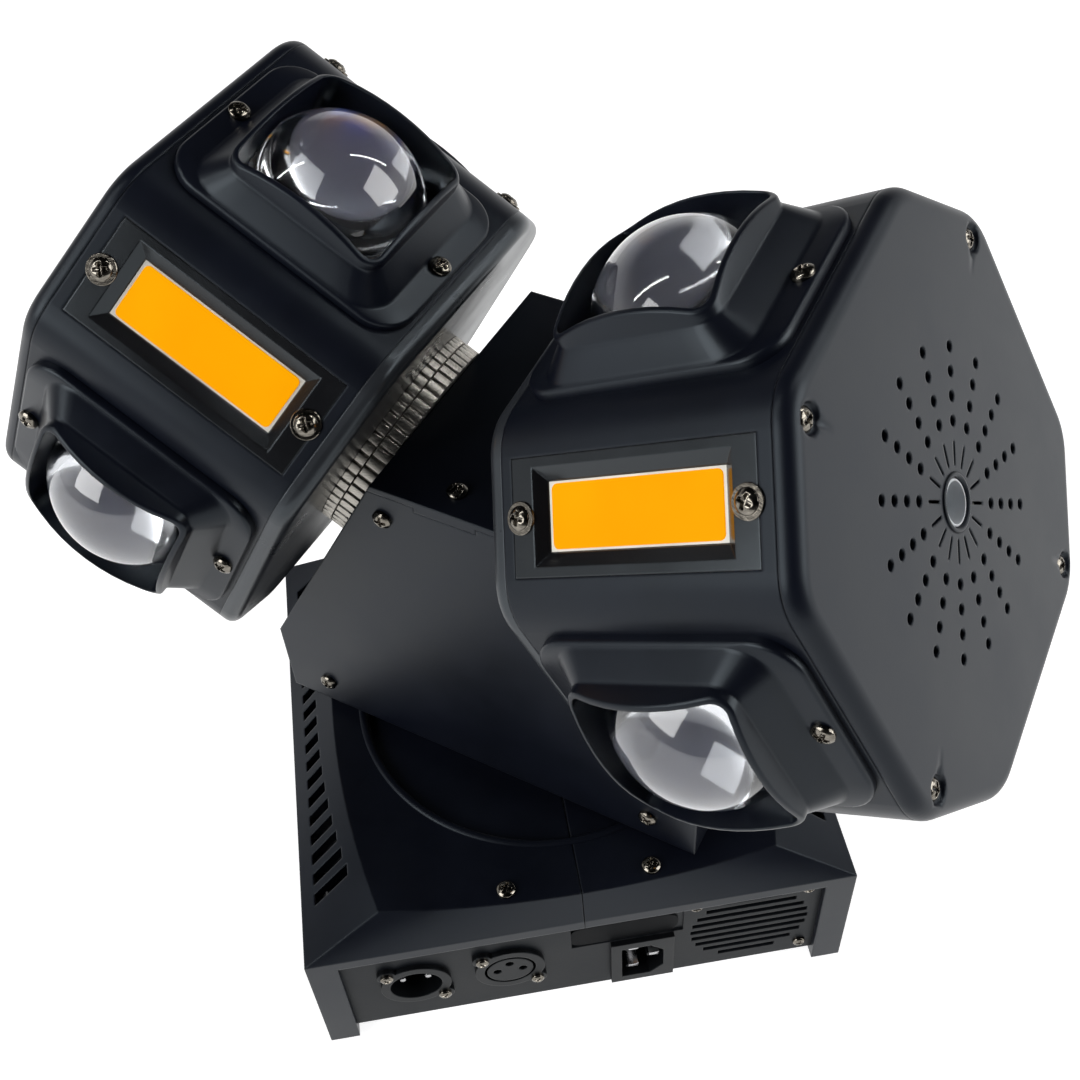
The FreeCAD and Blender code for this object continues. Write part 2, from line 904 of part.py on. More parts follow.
def belt(large, small, distance):
    low = (pulley_height - belt_width) / 2
    inner_large, inner_small = large + face_gap, small + face_gap
    outer = loop_face(inner_large + belt_thickness, inner_small + belt_thickness, distance, low)
    outer = outer.extrude(vector(0, 0, belt_width))
    inner = loop_face(inner_large, inner_small, distance, low - overrun)
    return outer.cut(inner.extrude(vector(0, 0, belt_width + 2 * overrun)))


def pan_drive():
    motor_face = pan_pulley_base - pulley_gap - motor_boss_height
    save("pan_motor", moved(motor_on_floor(motor_face), 0, pan_motor_y, 0))
    small = pulley(motor_pulley_radius, motor_shaft_radius + running_gap)
    save("pan_motor_pulley", moved(small, 0, pan_motor_y, pan_pulley_base))
    loop = turned(belt(pan_pulley_radius, motor_pulley_radius, pan_motor_y), z_axis, quarter_turn)
    save("pan_belt", moved(loop, 0, 0, pan_pulley_base))
    save("pan_spindle", in_arm(pan_spindle()))
    save("pan_bearing", pan_bearing())


def motor_on_floor(face):
    # A bracket foot fills the space between the motor and the chassis floor.
    half = motor_size / 2
    floor = foot_height + plate_thickness
    stand = block(-half + motor_chamfer, half - motor_chamfer, -half + motor_chamfer, half - motor_chamfer,
                  floor, face - motor_length)
    return fused([moved(motor(), 0, 0, face), stand])


def pan_spindle():
    top = arm_bottom + arm_wall + frame_clearance
    shaft = rod(spindle_radius, pan_pulley_base - spindle_foot_height, pan_bearing_top + face_gap)
    shoulder_top = pan_bearing_top + face_gap + spindle_foot_height
    shoulder = rod(spindle_shoulder_radius, pan_bearing_top + face_gap, shoulder_top)
    neck = rod(neck_radius, shoulder_top, arm_bottom)
    flange = rod(spindle_flange_radius, arm_bottom, top)
    wheel = moved(pulley(pan_pulley_radius, spindle_bore_radius), 0, 0, pan_pulley_base)
    bore = rod(spindle_bore_radius, 0, top + overrun)
    return fused([shaft, shoulder, neck, flange, wheel]).cut(bore)


def pan_bearing():
    inner = spindle_radius + running_gap
    body = ring(pan_bearing_radius, inner, pan_bearing_base, pan_bearing_top)
    flange = ring(pan_bearing_flange_radius, inner, bridge_top, bridge_top + pan_bearing_flange_thickness)
    return fused([body, flange])


# Arm


def arm_outline():
    return [
        (-arm_half_width, arm_bottom), (arm_half_width, arm_bottom), (arm_half_width, arm_shoulder),
        (arm_top_half_width, arm_top), (-arm_top_half_width, arm_top), (-arm_half_width, arm_shoulder),
    ]


def tall_outline(extra):
    # The same outline, its slanted shoulders carried on above the top.
    top = arm_top + extra
    half = shoulder_edge(top)
    return [
        (-arm_half_width, arm_bottom), (arm_half_width, arm_bottom), (arm_half_width, arm_shoulder),
        (half, top), (-half, top), (-arm_half_width, arm_shoulder),
    ]


def both_sides(shape):
    return [in_side(shape, "right"), in_side(shape, "left")]


def below(shape, height):
    span = arm_half_width + overrun
    return shape.common(block(-span, span, -span, span, arm_bottom - overrun, height))


def arm_side_holes():
    return both_sides(rod(bearing_radius + side_hole_gap, axle_start, arm_face + overrun))


def lid_seam():
    return arm_top - lid_thickness


def arm_cover(y0, y1, inner_y0, inner_y1):
    outer = upright_prism(arm_outline(), y0, y1)
    inner_points = inset(arm_outline(), arm_wall)
    inner = upright_prism(inner_points, inner_y0, inner_y1)
    neck = rod(spindle_flange_radius + face_gap, arm_bottom - overrun, arm_shoulder)
    shell = outer.cut([inner, neck] + arm_side_holes())
    span = arm_half_width
    return shell.cut(block(-span, span, y0 - overrun, y1 + overrun, lid_seam(), arm_top + overrun))


def arm_covers():
    top_tab = block(
        tab_left - seat_gap, tab_right + seat_gap, -arm_front - overrun, -arm_front + arm_wall + overrun,
        lid_seam() - tab_depth, arm_top,
    )
    front = arm_cover(-arm_front, 0, -arm_front + arm_wall, overrun)
    front = front.cut(top_tab)
    save("arm_front_cover", in_arm(front))
    rear = arm_cover(0, arm_back, -overrun, arm_back - arm_wall)
    save("arm_rear_cover", in_arm(rear))


def cover_screw_shapes(shape, y, angle):
    laid = turned(shape, x_axis, angle)
    high, low = arm_top - arm_screw_top_drop, arm_bottom + arm_screw_low_rise
    places = [
        (-arm_screw_top_x, high), (arm_screw_top_x, high),
        (-arm_screw_low_x, low), (arm_screw_low_x, low),
    ]
    return [moved(laid, x, y, z) for x, z in places]


def lid_screw_shapes(shape):
    return [
        moved(shape, lid_screw_x, -arm_front + lid_screw_inset, arm_top),
        moved(shape, lid_screw_x, arm_back - lid_screw_inset, arm_top),
    ]


def arm_lid():
    plate = upright_prism(arm_outline(), -arm_front, arm_back)
    span = arm_half_width
    plate = plate.common(block(-span, span, -span, span, lid_seam(), arm_top))
    tab = block(
        tab_left, tab_right, -arm_front, -arm_front + arm_wall, lid_seam() - tab_depth + seat_gap, arm_top
    )
    lip_front, lip_back = -arm_front + arm_wall + seat_gap, arm_back - arm_wall - seat_gap
    lip_points = inset(tall_outline(lid_thickness + overrun), arm_wall + seat_gap)
    lip = upright_prism(lip_points, lip_front, lip_back)
    hollow_points = inset(lip_points, lid_lip_wall)
    hollow = upright_prism(hollow_points, lip_front + lid_lip_wall, lip_back - lid_lip_wall)
    lip = lip.cut(hollow).common(block(-span, span, -span, span, lid_seam() - lid_lip_depth, lid_seam()))
    save("arm_lid", in_arm(fused([plate, tab, lip])))


def arm_frame():
    outer_points = inset(arm_outline(), arm_wall + frame_clearance)
    inner_points = inset(outer_points, frame_thickness)
    depth = frame_half_depth
    outer = upright_prism(outer_points, -depth, depth)
    sheet = outer.cut(upright_prism(inner_points, -depth - overrun, depth + overrun))
    sheet = below(sheet, lid_seam() - frame_open_top)
    plate_outer = head_pulley_base - pulley_gap
    half = motor_plate_half_width
    plate_inner = plate_outer - motor_plate_thickness
    plate = block(-head_axis_height, -motor_plate_top, -half, half, plate_inner, plate_outer)
    boss_hole = rod(motor_boss_radius + seat_gap, -overrun, plate_outer + overrun)
    plate = plate.cut(moved(boss_hole, -motor_drop, 0, 0))
    plates = [shape.common(outer) for shape in both_sides(plate)]
    bores = both_sides(rod(bearing_radius + running_gap, axle_start, arm_face))
    bores.append(rod(spindle_bore_radius, arm_bottom - overrun, arm_shoulder))
    save("arm_frame", in_arm(fused([sheet] + plates).cut(bores)))


def arm_screws():
    shapes = cover_screw_shapes(screw(), -arm_front, quarter_turn)
    shapes += cover_screw_shapes(screw(), arm_back, -quarter_turn)
    shapes += lid_screw_shapes(screw())
    save("arm_screws", in_arm(Part.makeCompound(shapes)))


def finned_ring(outer, inner, z0, z1):
    fins = []
    core = outer - fin_depth
    width = 2 * math.pi * core / fin_count * fin_width_share
    for index in range(fin_count):
        fin = block(core - fin_depth, outer, -width / 2, width / 2, z0, z1)
        fins.append(turned(fin, z_axis, full_turn * index / fin_count))
    return fused([rod(core, z0, z1)] + fins).cut(rod(inner, z0 - overrun, z1 + overrun))


def tilt_bearing():
    inner = axle_radius + running_gap
    barrel = ring(bearing_radius, inner, bearing_start, arm_face + face_gap)
    flange = finned_ring(fin_ring_radius, inner, arm_face + face_gap, fixed_ring_end)
    return fused([barrel, flange])


def tilt_drives():
    plate_inner = head_pulley_base - pulley_gap - motor_plate_thickness
    for side in ("right", "left"):
        save("tilt_bearing_" + side, in_arm(in_side(tilt_bearing(), side)))
        unit_motor = moved(motor(), -motor_drop, 0, plate_inner)
        save("tilt_motor_" + side, in_arm(in_side(unit_motor, side)))
        small = pulley(motor_pulley_radius, motor_shaft_radius + running_gap)
        small = moved(small, -motor_drop, 0, head_pulley_base)
        save("tilt_motor_pulley_" + side, in_arm(in_side(small, side)))
        loop = turned(belt(head_pulley_radius, motor_pulley_radius, motor_drop), z_axis, half_turn)
        save("tilt_belt_" + side, in_arm(in_side(moved(loop, 0, 0, head_pulley_base), side)))


# Heads


def outline_points(shrink):
    # Eight corners of the outline, four lens sides and four strobe sides in turn.
    wide, narrow = lens_face_apothem - shrink, strobe_face_apothem - shrink
    eighth = math.radians(eighth_turn)
    half = (wide - narrow * math.cos(eighth)) / math.sin(eighth)
    points = []
    for index in range(face_count):
        turn = 2 * eighth * index
        for side in (-1, 1):
            x = narrow * math.cos(turn) - side * half * math.sin(turn)
            y = narrow * math.sin(turn) + side * half * math.cos(turn)
            points.append((x, y))
    return points


def head_prism(shrink, z0, z1):
    body = prism(outline_points(shrink), z0, z1)
    upright = [edge for edge in body.Edges if is_upright(edge)]
    return body.makeFillet(outline_blend - shrink, upright)


def on_lens_face(shape, index):
    # A shape's own Z leads out of the face and its X runs along the head axis.
    laid = moved(turned(shape, y_axis, quarter_turn), 0, 0, head_middle)
    laid = turned(laid, z_axis, eighth_turn + quarter_turn * index)
    return laid


def on_strobe_face(shape, index):
    laid = moved(turned(shape, y_axis, quarter_turn), 0, 0, head_middle)
    return turned(laid, z_axis, quarter_turn * index)


def drum():
    body = head_prism(0, inner_cap_end, drum_end)
    body = body.cut(head_prism(drum_wall, inner_cap_end - overrun, drum_end + overrun))
    half = lens_window_half
    window = block(-half, half, -half, half, core_apothem, lens_face_apothem + overrun)
    half_x, half_y = strobe_plate_length / 2 + seat_gap, strobe_plate_width / 2 + seat_gap
    pocket = block(-half_x, half_x, -half_y, half_y, core_apothem, strobe_face_apothem + overrun)
    cuts = []
    for index in range(face_count):
        cuts.append(on_lens_face(window, index))
        cuts.append(on_strobe_face(pocket, index))
    return body.cut(cuts)


def cap_body(z0, z1, outer_is_high):
    # A shallow pan with a rounded outer edge.
    body = head_prism(0, z0, z1)
    level = z1 if outer_is_high else z0
    rim = [edge for edge in body.Edges if lies_at(edge, level)]
    body = body.makeFillet(cap_edge, rim)
    if outer_is_high:
        return body.cut(head_prism(cap_edge + cap_wall, z0 - overrun, z1 - cap_wall))
    return body.cut(head_prism(cap_edge + cap_wall, z0 + cap_wall, z1 + overrun))


def lies_at(edge, level):
    low, high = edge.BoundBox.ZMin, edge.BoundBox.ZMax
    return abs(low - level) < running_gap and abs(high - level) < running_gap


def vent_holes():
    holes = []
    for ring_index in range(vent_rings):
        radius = vent_ring_radius + ring_index * vent_ring_step
        hole = regular_prism(vent_hole_sides, vent_hole_radius, drum_end, head_end + overrun)
        for spoke in range(vent_spokes):
            holes.append(turned(moved(hole, radius, 0, 0), z_axis, full_turn * spoke / vent_spokes))
    return holes


def hub_slots():
    slots = []
    start = hub_radius + hub_slot_width
    for spoke in range(vent_spokes):
        slot = block(start, start + hub_slot_length, -hub_slot_width / 2, hub_slot_width / 2,
                     drum_end, head_end + overrun)
        slots.append(turned(slot, z_axis, full_turn * (spoke + 1 / 2) / vent_spokes))
    return slots


def cap_screw_shapes(shape, level):
    shapes = []
    for index in range(face_count):
        placed = moved(shape, cap_screw_circle, 0, level)
        shapes.append(turned(placed, z_axis, quarter_turn * index - cap_screw_angle))
    return shapes


def outer_cap():
    cap = cap_body(drum_end, head_end, True)
    cap = cap.fuse(rod(hub_radius, head_end - cap_wall, head_end + hub_height))
    well = rod(cap_screw_well_radius, head_end - cap_screw_well_depth, head_end + overrun)
    cuts = vent_holes() + hub_slots() + cap_screw_shapes(well, 0)
    cuts.append(rod(hub_bore_radius, drum_end, head_end + overrun))
    return cap.cut(cuts).removeSplitter()


def inner_cap():
    cap = cap_body(head_start, inner_cap_end, False)
    return cap.cut(rod(axle_radius + running_gap, head_start - overrun, inner_cap_end))


def hood():
    base = lens_face_apothem
    flange_top = base + hood_flange_thickness
    half_x, half_y = hood_flange_half_length, hood_flange_half_width
    flange = rounded_prism(half_x, half_y, hood_flange_corner, base, flange_top)
    upper = [edge for edge in flange.Edges if edge.BoundBox.ZMin > flange_top - running_gap]
    flange = flange.makeChamfer(hood_flange_chamfer, upper)
    step_half = hood_tube_half + hood_step_margin
    step_top = flange_top + hood_step_height
    step = rounded_prism(step_half, step_half, hood_flange_corner, flange_top, step_top)
    upper = [edge for edge in step.Edges if edge.BoundBox.ZMin > step_top - running_gap]
    step = step.makeChamfer(hood_step_height - hood_flange_chamfer, upper)
    rim = hood_sphere_centre + hood_sphere_radius
    tube = rounded_prism(hood_tube_half, hood_tube_half, hood_tube_corner, base, rim)
    ball = Part.makeSphere(hood_sphere_radius, vector(0, 0, hood_sphere_centre))
    body = fused([flange, step, tube.common(ball)])
    inner_half = hood_tube_half - hood_tube_wall
    bore = rounded_prism(
        inner_half, inner_half, hood_tube_corner - hood_tube_wall, base - overrun, rim + overrun
    )
    return body.cut(bore)


def lens():
    base = lens_face_apothem
    half = hood_tube_half - hood_tube_wall - seat_gap
    plate = rounded_prism(half, half, hood_tube_corner - hood_tube_wall, base, base + lens_plate_thickness)
    ball = Part.makeSphere(lens_sphere_radius, vector(0, 0, lens_sphere_centre))
    dome = ball.common(block(-half, half, -half, half, base, lens_sphere_centre + lens_sphere_radius))
    return fused([plate, dome])


def strobe_plate():
    top = strobe_face_apothem
    bottom = top - strobe_plate_thickness
    half_x, half_y = strobe_plate_length / 2, strobe_plate_width / 2
    plate = block(-half_x, half_x, -half_y, half_y, bottom, top)
    low = box_outline(window_floor_length / 2, window_floor_width / 2, bottom)
    high = box_outline(window_length / 2, window_width / 2, top)
    window = Part.makeLoft([low, high], True, True)
    return plate.cut(window)


def strobe_panel():
    top = strobe_face_apothem - strobe_plate_thickness
    half_x, half_y = panel_board_length / 2, panel_board_width / 2
    return block(-half_x, half_x, -half_y, half_y, top - panel_board_thickness, top)


def lamp_core():
    start = head_start + axle_flange_inset + axle_flange_thickness
    side = math.tan(math.radians(eighth_turn / 2)) * core_apothem
    corner = math.hypot(core_apothem, side)
    sides = 2 * face_count
    body = turned(regular_prism(sides, corner, start, core_end), z_axis, eighth_turn / 2)
    rib_top = strobe_face_apothem - strobe_plate_thickness - panel_board_thickness
    rib = block(head_middle - core_end, head_middle - inner_cap_end, -core_rib_width / 2, core_rib_width / 2,
                core_bore_radius, rib_top)
    half = emitter_size / 2
    emitter = block(-half, half, -half, half, core_bore_radius, core_apothem + emitter_thickness)
    pieces = [body]
    for index in range(face_count):
        pieces.append(on_strobe_face(rib, index))
        pieces.append(on_lens_face(emitter, index))
    return fused(pieces).cut(rod(core_bore_radius, start - overrun, core_end + overrun))


def head_axle():
    start = head_start + axle_flange_inset
    shaft = rod(axle_radius, axle_start, start)
    flange = rod(axle_flange_radius, start, start + axle_flange_thickness)
    body = fused([shaft, flange])
    return body.cut(rod(axle_bore_radius, axle_start - overrun, core_end))


def head_screws():
    shapes = cap_screw_shapes(screw(), head_end - cap_screw_well_depth)
    flange_top = lens_face_apothem + hood_flange_thickness
    for index in range(face_count):
        for side in (-1, 1):
            shapes.append(on_lens_face(moved(screw(), side * hood_screw_offset, 0, flange_top), index))
            placed = moved(screw(), side * strobe_screw_offset, 0, strobe_face_apothem)
            shapes.append(on_strobe_face(placed, index))
    return Part.makeCompound(shapes)


def head(side):
    def keep(name, shape):
        save(name + "_" + side, in_head(shape, side))

    keep("drum", drum())
    keep("outer_cap", outer_cap())
    keep("inner_cap", inner_cap())
    keep("head_axle", head_axle())
    keep("lamp_core", lamp_core())
    bore = axle_radius + running_gap
    collar = finned_ring(fin_ring_radius, bore, fixed_ring_end + ring_gap, head_start)
    keep("fin_collar", collar)
    wheel = pulley(head_pulley_radius, axle_radius + running_gap)
    keep("head_pulley", moved(wheel, 0, 0, head_pulley_base))
    keep("head_screws", head_screws())
    group = {"lens_hoods": [], "lenses": [], "strobe_plates": [], "strobe_panels": []}
    for index in range(face_count):
        group["lens_hoods"].append(on_lens_face(hood(), index))
        group["lenses"].append(on_lens_face(lens(), index))
        group["strobe_plates"].append(on_strobe_face(strobe_plate(), index))
        group["strobe_panels"].append(on_strobe_face(strobe_panel(), index))
    for name, shapes in group.items():
        keep(name, Part.makeCompound(shapes))


base_shells()
base_chassis()
connector_panel()
power_inlet()
signal_sockets()
fan_frame()
fan_rotor()
control_panel()
display_module()
buttons()
power_supply()
control_board()
pan_drive()
arm_covers()
arm_lid()
arm_frame()
arm_screws()
tilt_drives()
head("right")
head("left")
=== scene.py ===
import math

import bmesh
import bpy
import numpy as np
from mathutils import Matrix, Vector


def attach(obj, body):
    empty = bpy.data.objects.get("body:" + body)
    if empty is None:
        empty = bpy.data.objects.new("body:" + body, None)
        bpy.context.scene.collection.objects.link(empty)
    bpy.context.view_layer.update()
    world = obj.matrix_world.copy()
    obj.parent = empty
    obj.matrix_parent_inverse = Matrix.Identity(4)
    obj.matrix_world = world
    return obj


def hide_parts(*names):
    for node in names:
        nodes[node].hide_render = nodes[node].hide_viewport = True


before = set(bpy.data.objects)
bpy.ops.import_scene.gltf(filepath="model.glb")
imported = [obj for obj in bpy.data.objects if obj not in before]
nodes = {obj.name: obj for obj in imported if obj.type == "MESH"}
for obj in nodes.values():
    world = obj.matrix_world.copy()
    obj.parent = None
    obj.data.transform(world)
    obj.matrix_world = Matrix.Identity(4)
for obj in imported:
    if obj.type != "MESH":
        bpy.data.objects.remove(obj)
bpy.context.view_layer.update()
print("stage 1: frame loaded,", len(nodes), "nodes")

# the camera that took the photo
cameraSettings = {
    "place": (-0.03139, -0.32586, 0.52434),
    "right": (0.9865, -0.1573, -0.0462),
    "down": (-0.1474, -0.7274, -0.6702),
    "forward": (0.0718, 0.6679, -0.7408),
    "lens": 46.58,
    "sensor": 36.0,
    "clip": (0.01, 50.0),
}


def makeCamera(settings):
    data = bpy.data.cameras.new("photoCamera")
    data.lens, data.sensor_width = settings["lens"], settings["sensor"]
    data.clip_start, data.clip_end = settings["clip"]
    camera = bpy.data.objects.new("photoCamera", data)
    bpy.context.collection.objects.link(camera)
    right, down, forward = (Vector(settings[k]).normalized() for k in ("right", "down", "forward"))
    turn = Matrix((right, -down, -forward)).transposed().to_4x4()
    camera.matrix_world = Matrix.Translation(Vector(settings["place"])) @ turn
    bpy.context.scene.camera = camera


makeCamera(cameraSettings)
bpy.context.scene.view_settings.view_transform = "Standard"

# surfaces: loops of points in millimetres, row by row, joined into quads
meshSettings = {"millimetre": 0.001, "weld": 0.000004, "sharpAngle": 38, "slit": 0.001, "point": 0.0005}


def gridQuads(rows, cols, wrapRows=False, wrapCols=False):
    # each quad joins a point to its next neighbours in both directions
    r = np.arange(rows if wrapRows else rows - 1)
    c = np.arange(cols if wrapCols else cols - 1)
    r, c = np.meshgrid(r, c, indexing="ij")
    rNext, cNext = (r + 1) % rows, (c + 1) % cols
    corners = [r * cols + c, r * cols + cNext, rNext * cols + cNext, rNext * cols + c]
    return np.stack(corners, -1).reshape(-1, 4)


def levelRow(xy, height):
    # one loop of a surface, at one height or at a height for each of its points
    return np.column_stack([xy, np.full(len(xy), height)])


def sleeve(rows, wrapRows=False):
    # closed loops joined one to the next, and the last to the first where the rows wrap
    return np.concatenate(rows), gridQuads(len(rows), len(rows[0]), wrapRows, wrapCols=True)


def roundTurn(samples):
    return np.linspace(0, 2 * np.pi, samples, endpoint=False)


def circlePoints(angle):
    return np.stack([np.cos(angle), np.sin(angle)], -1)


def turned(profile, angle, wrapRows=False):
    # each row's radius and height carried round the Z axis, the radius may change with the angle
    rows = [np.stack([r * np.cos(angle), r * np.sin(angle), z + 0 * angle], -1) for r, z in profile]
    return sleeve(rows, wrapRows)


def softStep(value, edge, width):
    # one below the edge, zero above it, with a soft change between them
    return 1 / (1 + np.exp(np.clip((value - edge) / width, -30, 30)))


def joinParts(parts):
    # several pairs of points and quads made into one
    points, quads, start = [], [], 0
    for p, q in parts:
        points.append(p)
        quads.append(q + start)
        start += len(p)
    return np.concatenate(points), np.concatenate(quads)


def stamp(part, matrices):
    # the same part once under each matrix
    points, quads = part
    matrices = np.stack(matrices)
    copies = np.einsum("kij,nj->kni", matrices[:, :3, :3], points) + matrices[:, None, :3, 3]
    starts = np.arange(len(matrices)) * len(points)
    return copies.reshape(-1, 3), (quads[None] + starts[:, None, None]).reshape(-1, 4)


def makePiece(name, part, body, finish, stands=()):
    # a welded mesh with its finish, its body and the CAD nodes that it stands for
    points, quads = part
    mesh = bpy.data.meshes.new(name)
    mesh.vertices.add(len(points))
    mesh.vertices.foreach_set("co", (points * meshSettings["millimetre"]).ravel())
    mesh.loops.add(quads.size)
    mesh.loops.foreach_set("vertex_index", quads.ravel().astype(np.int32))
    mesh.polygons.add(len(quads))
    mesh.polygons.foreach_set("loop_start", np.arange(0, quads.size, 4, dtype=np.int32))
    mesh.polygons.foreach_set("loop_total", np.full(len(quads), 4, dtype=np.int32))
    mesh.update(calc_edges=True)
    mesh.validate()
    work = bmesh.new()
    work.from_mesh(mesh)
    bmesh.ops.remove_doubles(work, verts=work.verts, dist=meshSettings["weld"])
    work.to_mesh(mesh)
    work.free()
    mesh.polygons.foreach_set("use_smooth", np.full(len(mesh.polygons), True))
    mesh.set_sharp_from_angle(angle=math.radians(meshSettings["sharpAngle"]))
    mesh.materials.append(finishes[finish])
    piece = bpy.data.objects.new(name, mesh)
    bpy.context.collection.objects.link(piece)
    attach(piece, body)
    if stands:
        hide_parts(*stands)


# the object's own frames, in millimetres and degrees
pose = {"pan": -37.0, "rise": 29.0, "axisHeight": 168.5, "right": -41.6, "left": -45.1, "middle": 108.3}
lensAngles = (45, 135, 225, 315)
strobeAngles = (0, 90, 180, 270)


def turnAbout(axis, degrees):
    return np.array(Matrix.Rotation(math.radians(degrees), 4, axis))


def shift(x, y, z):
    return np.array(Matrix.Translation((x, y, z)))


def headFrame(side, spinning=True):
    # local Z leads out along the head axis, local Y to the arm's front at zero spin
    rise = math.radians(pose["rise"])
    matrix = np.eye(4)
    matrix[:3, 0] = (-math.sin(rise), 0, math.cos(rise))
    matrix[:3, 1] = (0, -1, 0)
    matrix[:3, 2] = (math.cos(rise), 0, math.sin(rise))
    matrix[2, 3] = pose["axisHeight"]
    flip = turnAbout("Z", 180 if side == "left" else 0)
    spin = turnAbout("Z", pose[side] if spinning else 0)
    return armFrame @ flip @ matrix @ spin


def faceFrame(degrees):
    # local X runs along the head axis, local Z out of a face of the head
    angle = math.radians(degrees)
    matrix = np.eye(4)
    matrix[:3, 0] = (0, 0, 1)
    matrix[:3, 2] = (math.cos(angle), math.sin(angle), 0)
    matrix[:3, 1] = np.cross(matrix[:3, 2], matrix[:3, 0])
    matrix[2, 3] = pose["middle"]
    return matrix


def standing(x, y, z, outward, spin):
    # local Z leads outward, then a spin about it in radians
    tip = Vector(outward).to_track_quat("Z", "Y").to_matrix().to_4x4()
    return np.array(Matrix.Translation((x, y, z)) @ tip @ Matrix.Rotation(spin, 4, "Z"))


def onPanel(x, y, z):
    # local X to the right, local Y up and local Z out of the base's front
    return np.array([[1, 0, 0, x], [0, 0, -1, y], [0, 1, 0, z], [0, 0, 0, 1]], float)


armFrame = turnAbout("Z", pose["pan"])


# shader nodes

def wire(tree, source, target):
    tree.links.new(source, target)


def feed(tree, node, values):
    # each named input takes another node's output or a plain value, a grey may be one number
    for key, value in values.items():
        socket = node.inputs[key]
        if isinstance(value, bpy.types.NodeSocket):
            wire(tree, value, socket)
        elif socket.type == "RGBA":
            socket.default_value = (*value, 1.0) if isinstance(value, tuple) else (*[value] * 3, 1.0)
        else:
            socket.default_value = value
    return node


def addNode(tree, kind, values, **settings):
    node = tree.nodes.new("ShaderNode" + kind)
    for key, value in settings.items():
        setattr(node, key, value)
    return feed(tree, node, values)


def mathNode(tree, operation, first, second, clamp=False):
    return addNode(tree, "Math", {0: first, 1: second}, operation=operation, use_clamp=clamp).outputs[0]


def rangeNode(tree, value, fromSpan, toSpan=(0.0, 1.0)):
    # one span of a value turned into another and held at its ends
    return addNode(tree, "MapRange", {
        "Value": value, "From Min": fromSpan[0], "From Max": fromSpan[1],
        "To Min": toSpan[0], "To Max": toSpan[1]}).outputs[0]


def noiseNode(tree, vector, scale, detail, roughness):
    values = {"Vector": vector, "Scale": scale, "Detail": detail, "Roughness": roughness}
    return addNode(tree, "TexNoise", values).outputs["Fac"]


def mixColour(tree, factor, first, second):
    return addNode(tree, "Mix", {0: factor, 6: first, 7: second}, data_type="RGBA").outputs[2]


def newGroup(name, values, *results):
    # a group with a vector and named numbers going in, and named numbers coming out
    group = bpy.data.node_groups.new(name, "ShaderNodeTree")
    group.interface.new_socket("Vector", in_out="INPUT", socket_type="NodeSocketVector")
    for label, value in values.items():
        socket = group.interface.new_socket(label, in_out="INPUT", socket_type="NodeSocketFloat")
        socket.default_value = value
    for label in results:
        group.interface.new_socket(label, in_out="OUTPUT", socket_type="NodeSocketFloat")
    inside, outside = group.nodes.new("NodeGroupInput"), group.nodes.new("NodeGroupOutput")
    return group, inside.outputs, outside.inputs


grainLook = {"fine": (2.0, 0.6), "cellScale": 0.55, "mottle": (34.0, 4.0, 0.6)}


def makeGrainGroup(look):
    # spark-eroded mould grain: fine noise over coarser cells, as a height
    group, given, made = newGroup("mouldGrain", {"Scale": 2600.0, "Cell Share": 0.4}, "Height", "Mottle")
    fine = noiseNode(group, given["Vector"], given["Scale"], *look["fine"])
    cellScale = mathNode(group, "MULTIPLY", given["Scale"], look["cellScale"])
    cell = addNode(group, "TexVoronoi", {"Vector": given["Vector"], "Scale": cellScale})
    mix = addNode(group, "Mix", {"Factor": given["Cell Share"], "A": fine, "B": cell.outputs["Distance"]})
    wire(group, mix.outputs["Result"], made["Height"])
    wire(group, noiseNode(group, given["Vector"], *look["mottle"]), made["Mottle"])
    return group


wearLook = {"samples": 6, "edge": (0.995, 0.86), "noise": (160.0, 5.0, 0.65), "broken": (0.42, 0.62)}


def makeWearGroup(look):
    # rubbed edges: where a rounded normal parts from the true one, broken up by noise
    group, given, made = newGroup("rubbedEdge", {"Width": 0.0008, "Amount": 0.6}, "Mask")
    bevel = addNode(group, "Bevel", {"Radius": given["Width"]}, samples=look["samples"])
    geometry = addNode(group, "NewGeometry", {})
    normals = {0: bevel.outputs["Normal"], 1: geometry.outputs["Normal"]}
    dot = addNode(group, "VectorMath", normals, operation="DOT_PRODUCT")
    edge = rangeNode(group, dot.outputs["Value"], look["edge"])
    broken = rangeNode(group, noiseNode(group, given["Vector"], *look["noise"]), look["broken"])
    mask = mathNode(group, "MULTIPLY", edge, broken)
    wire(group, mathNode(group, "MULTIPLY", mask, given["Amount"], True), made["Mask"])
    return group


dustLook = {
    "upward": (-0.2, 1.0), "least": 0.25, "share": 0.5,
    "patches": (22.0, 5.0, 0.6), "patchSpan": (0.40, 0.75),
    "specks": (1500.0, 1.0, 0.5), "speckSpan": (0.66, 0.74),
}


def makeDustGroup(look):
    # settled dust: more on what faces up, in soft patches with fine specks
    group, given, made = newGroup("settledDust", {"Amount": 0.1}, "Mask")
    geometry = addNode(group, "NewGeometry", {})
    split = addNode(group, "SeparateXYZ", {0: geometry.outputs["Normal"]})
    upward = rangeNode(group, split.outputs["Z"], look["upward"], (look["least"], 1.0))
    patches = rangeNode(group, noiseNode(group, given["Vector"], *look["patches"]), look["patchSpan"])
    specks = rangeNode(group, noiseNode(group, given["Vector"], *look["specks"]), look["speckSpan"])
    halves = [mathNode(group, "MULTIPLY", part, look["share"]) for part in (patches, specks)]
    mask = mathNode(group, "MULTIPLY", mathNode(group, "ADD", *halves), upward)
    wire(group, mathNode(group, "MULTIPLY", mask, given["Amount"], True), made["Mask"])
    return group


brushLook = {"stretch": (1.0, 1.0, 9.0), "noise": (3.0, 0.6)}


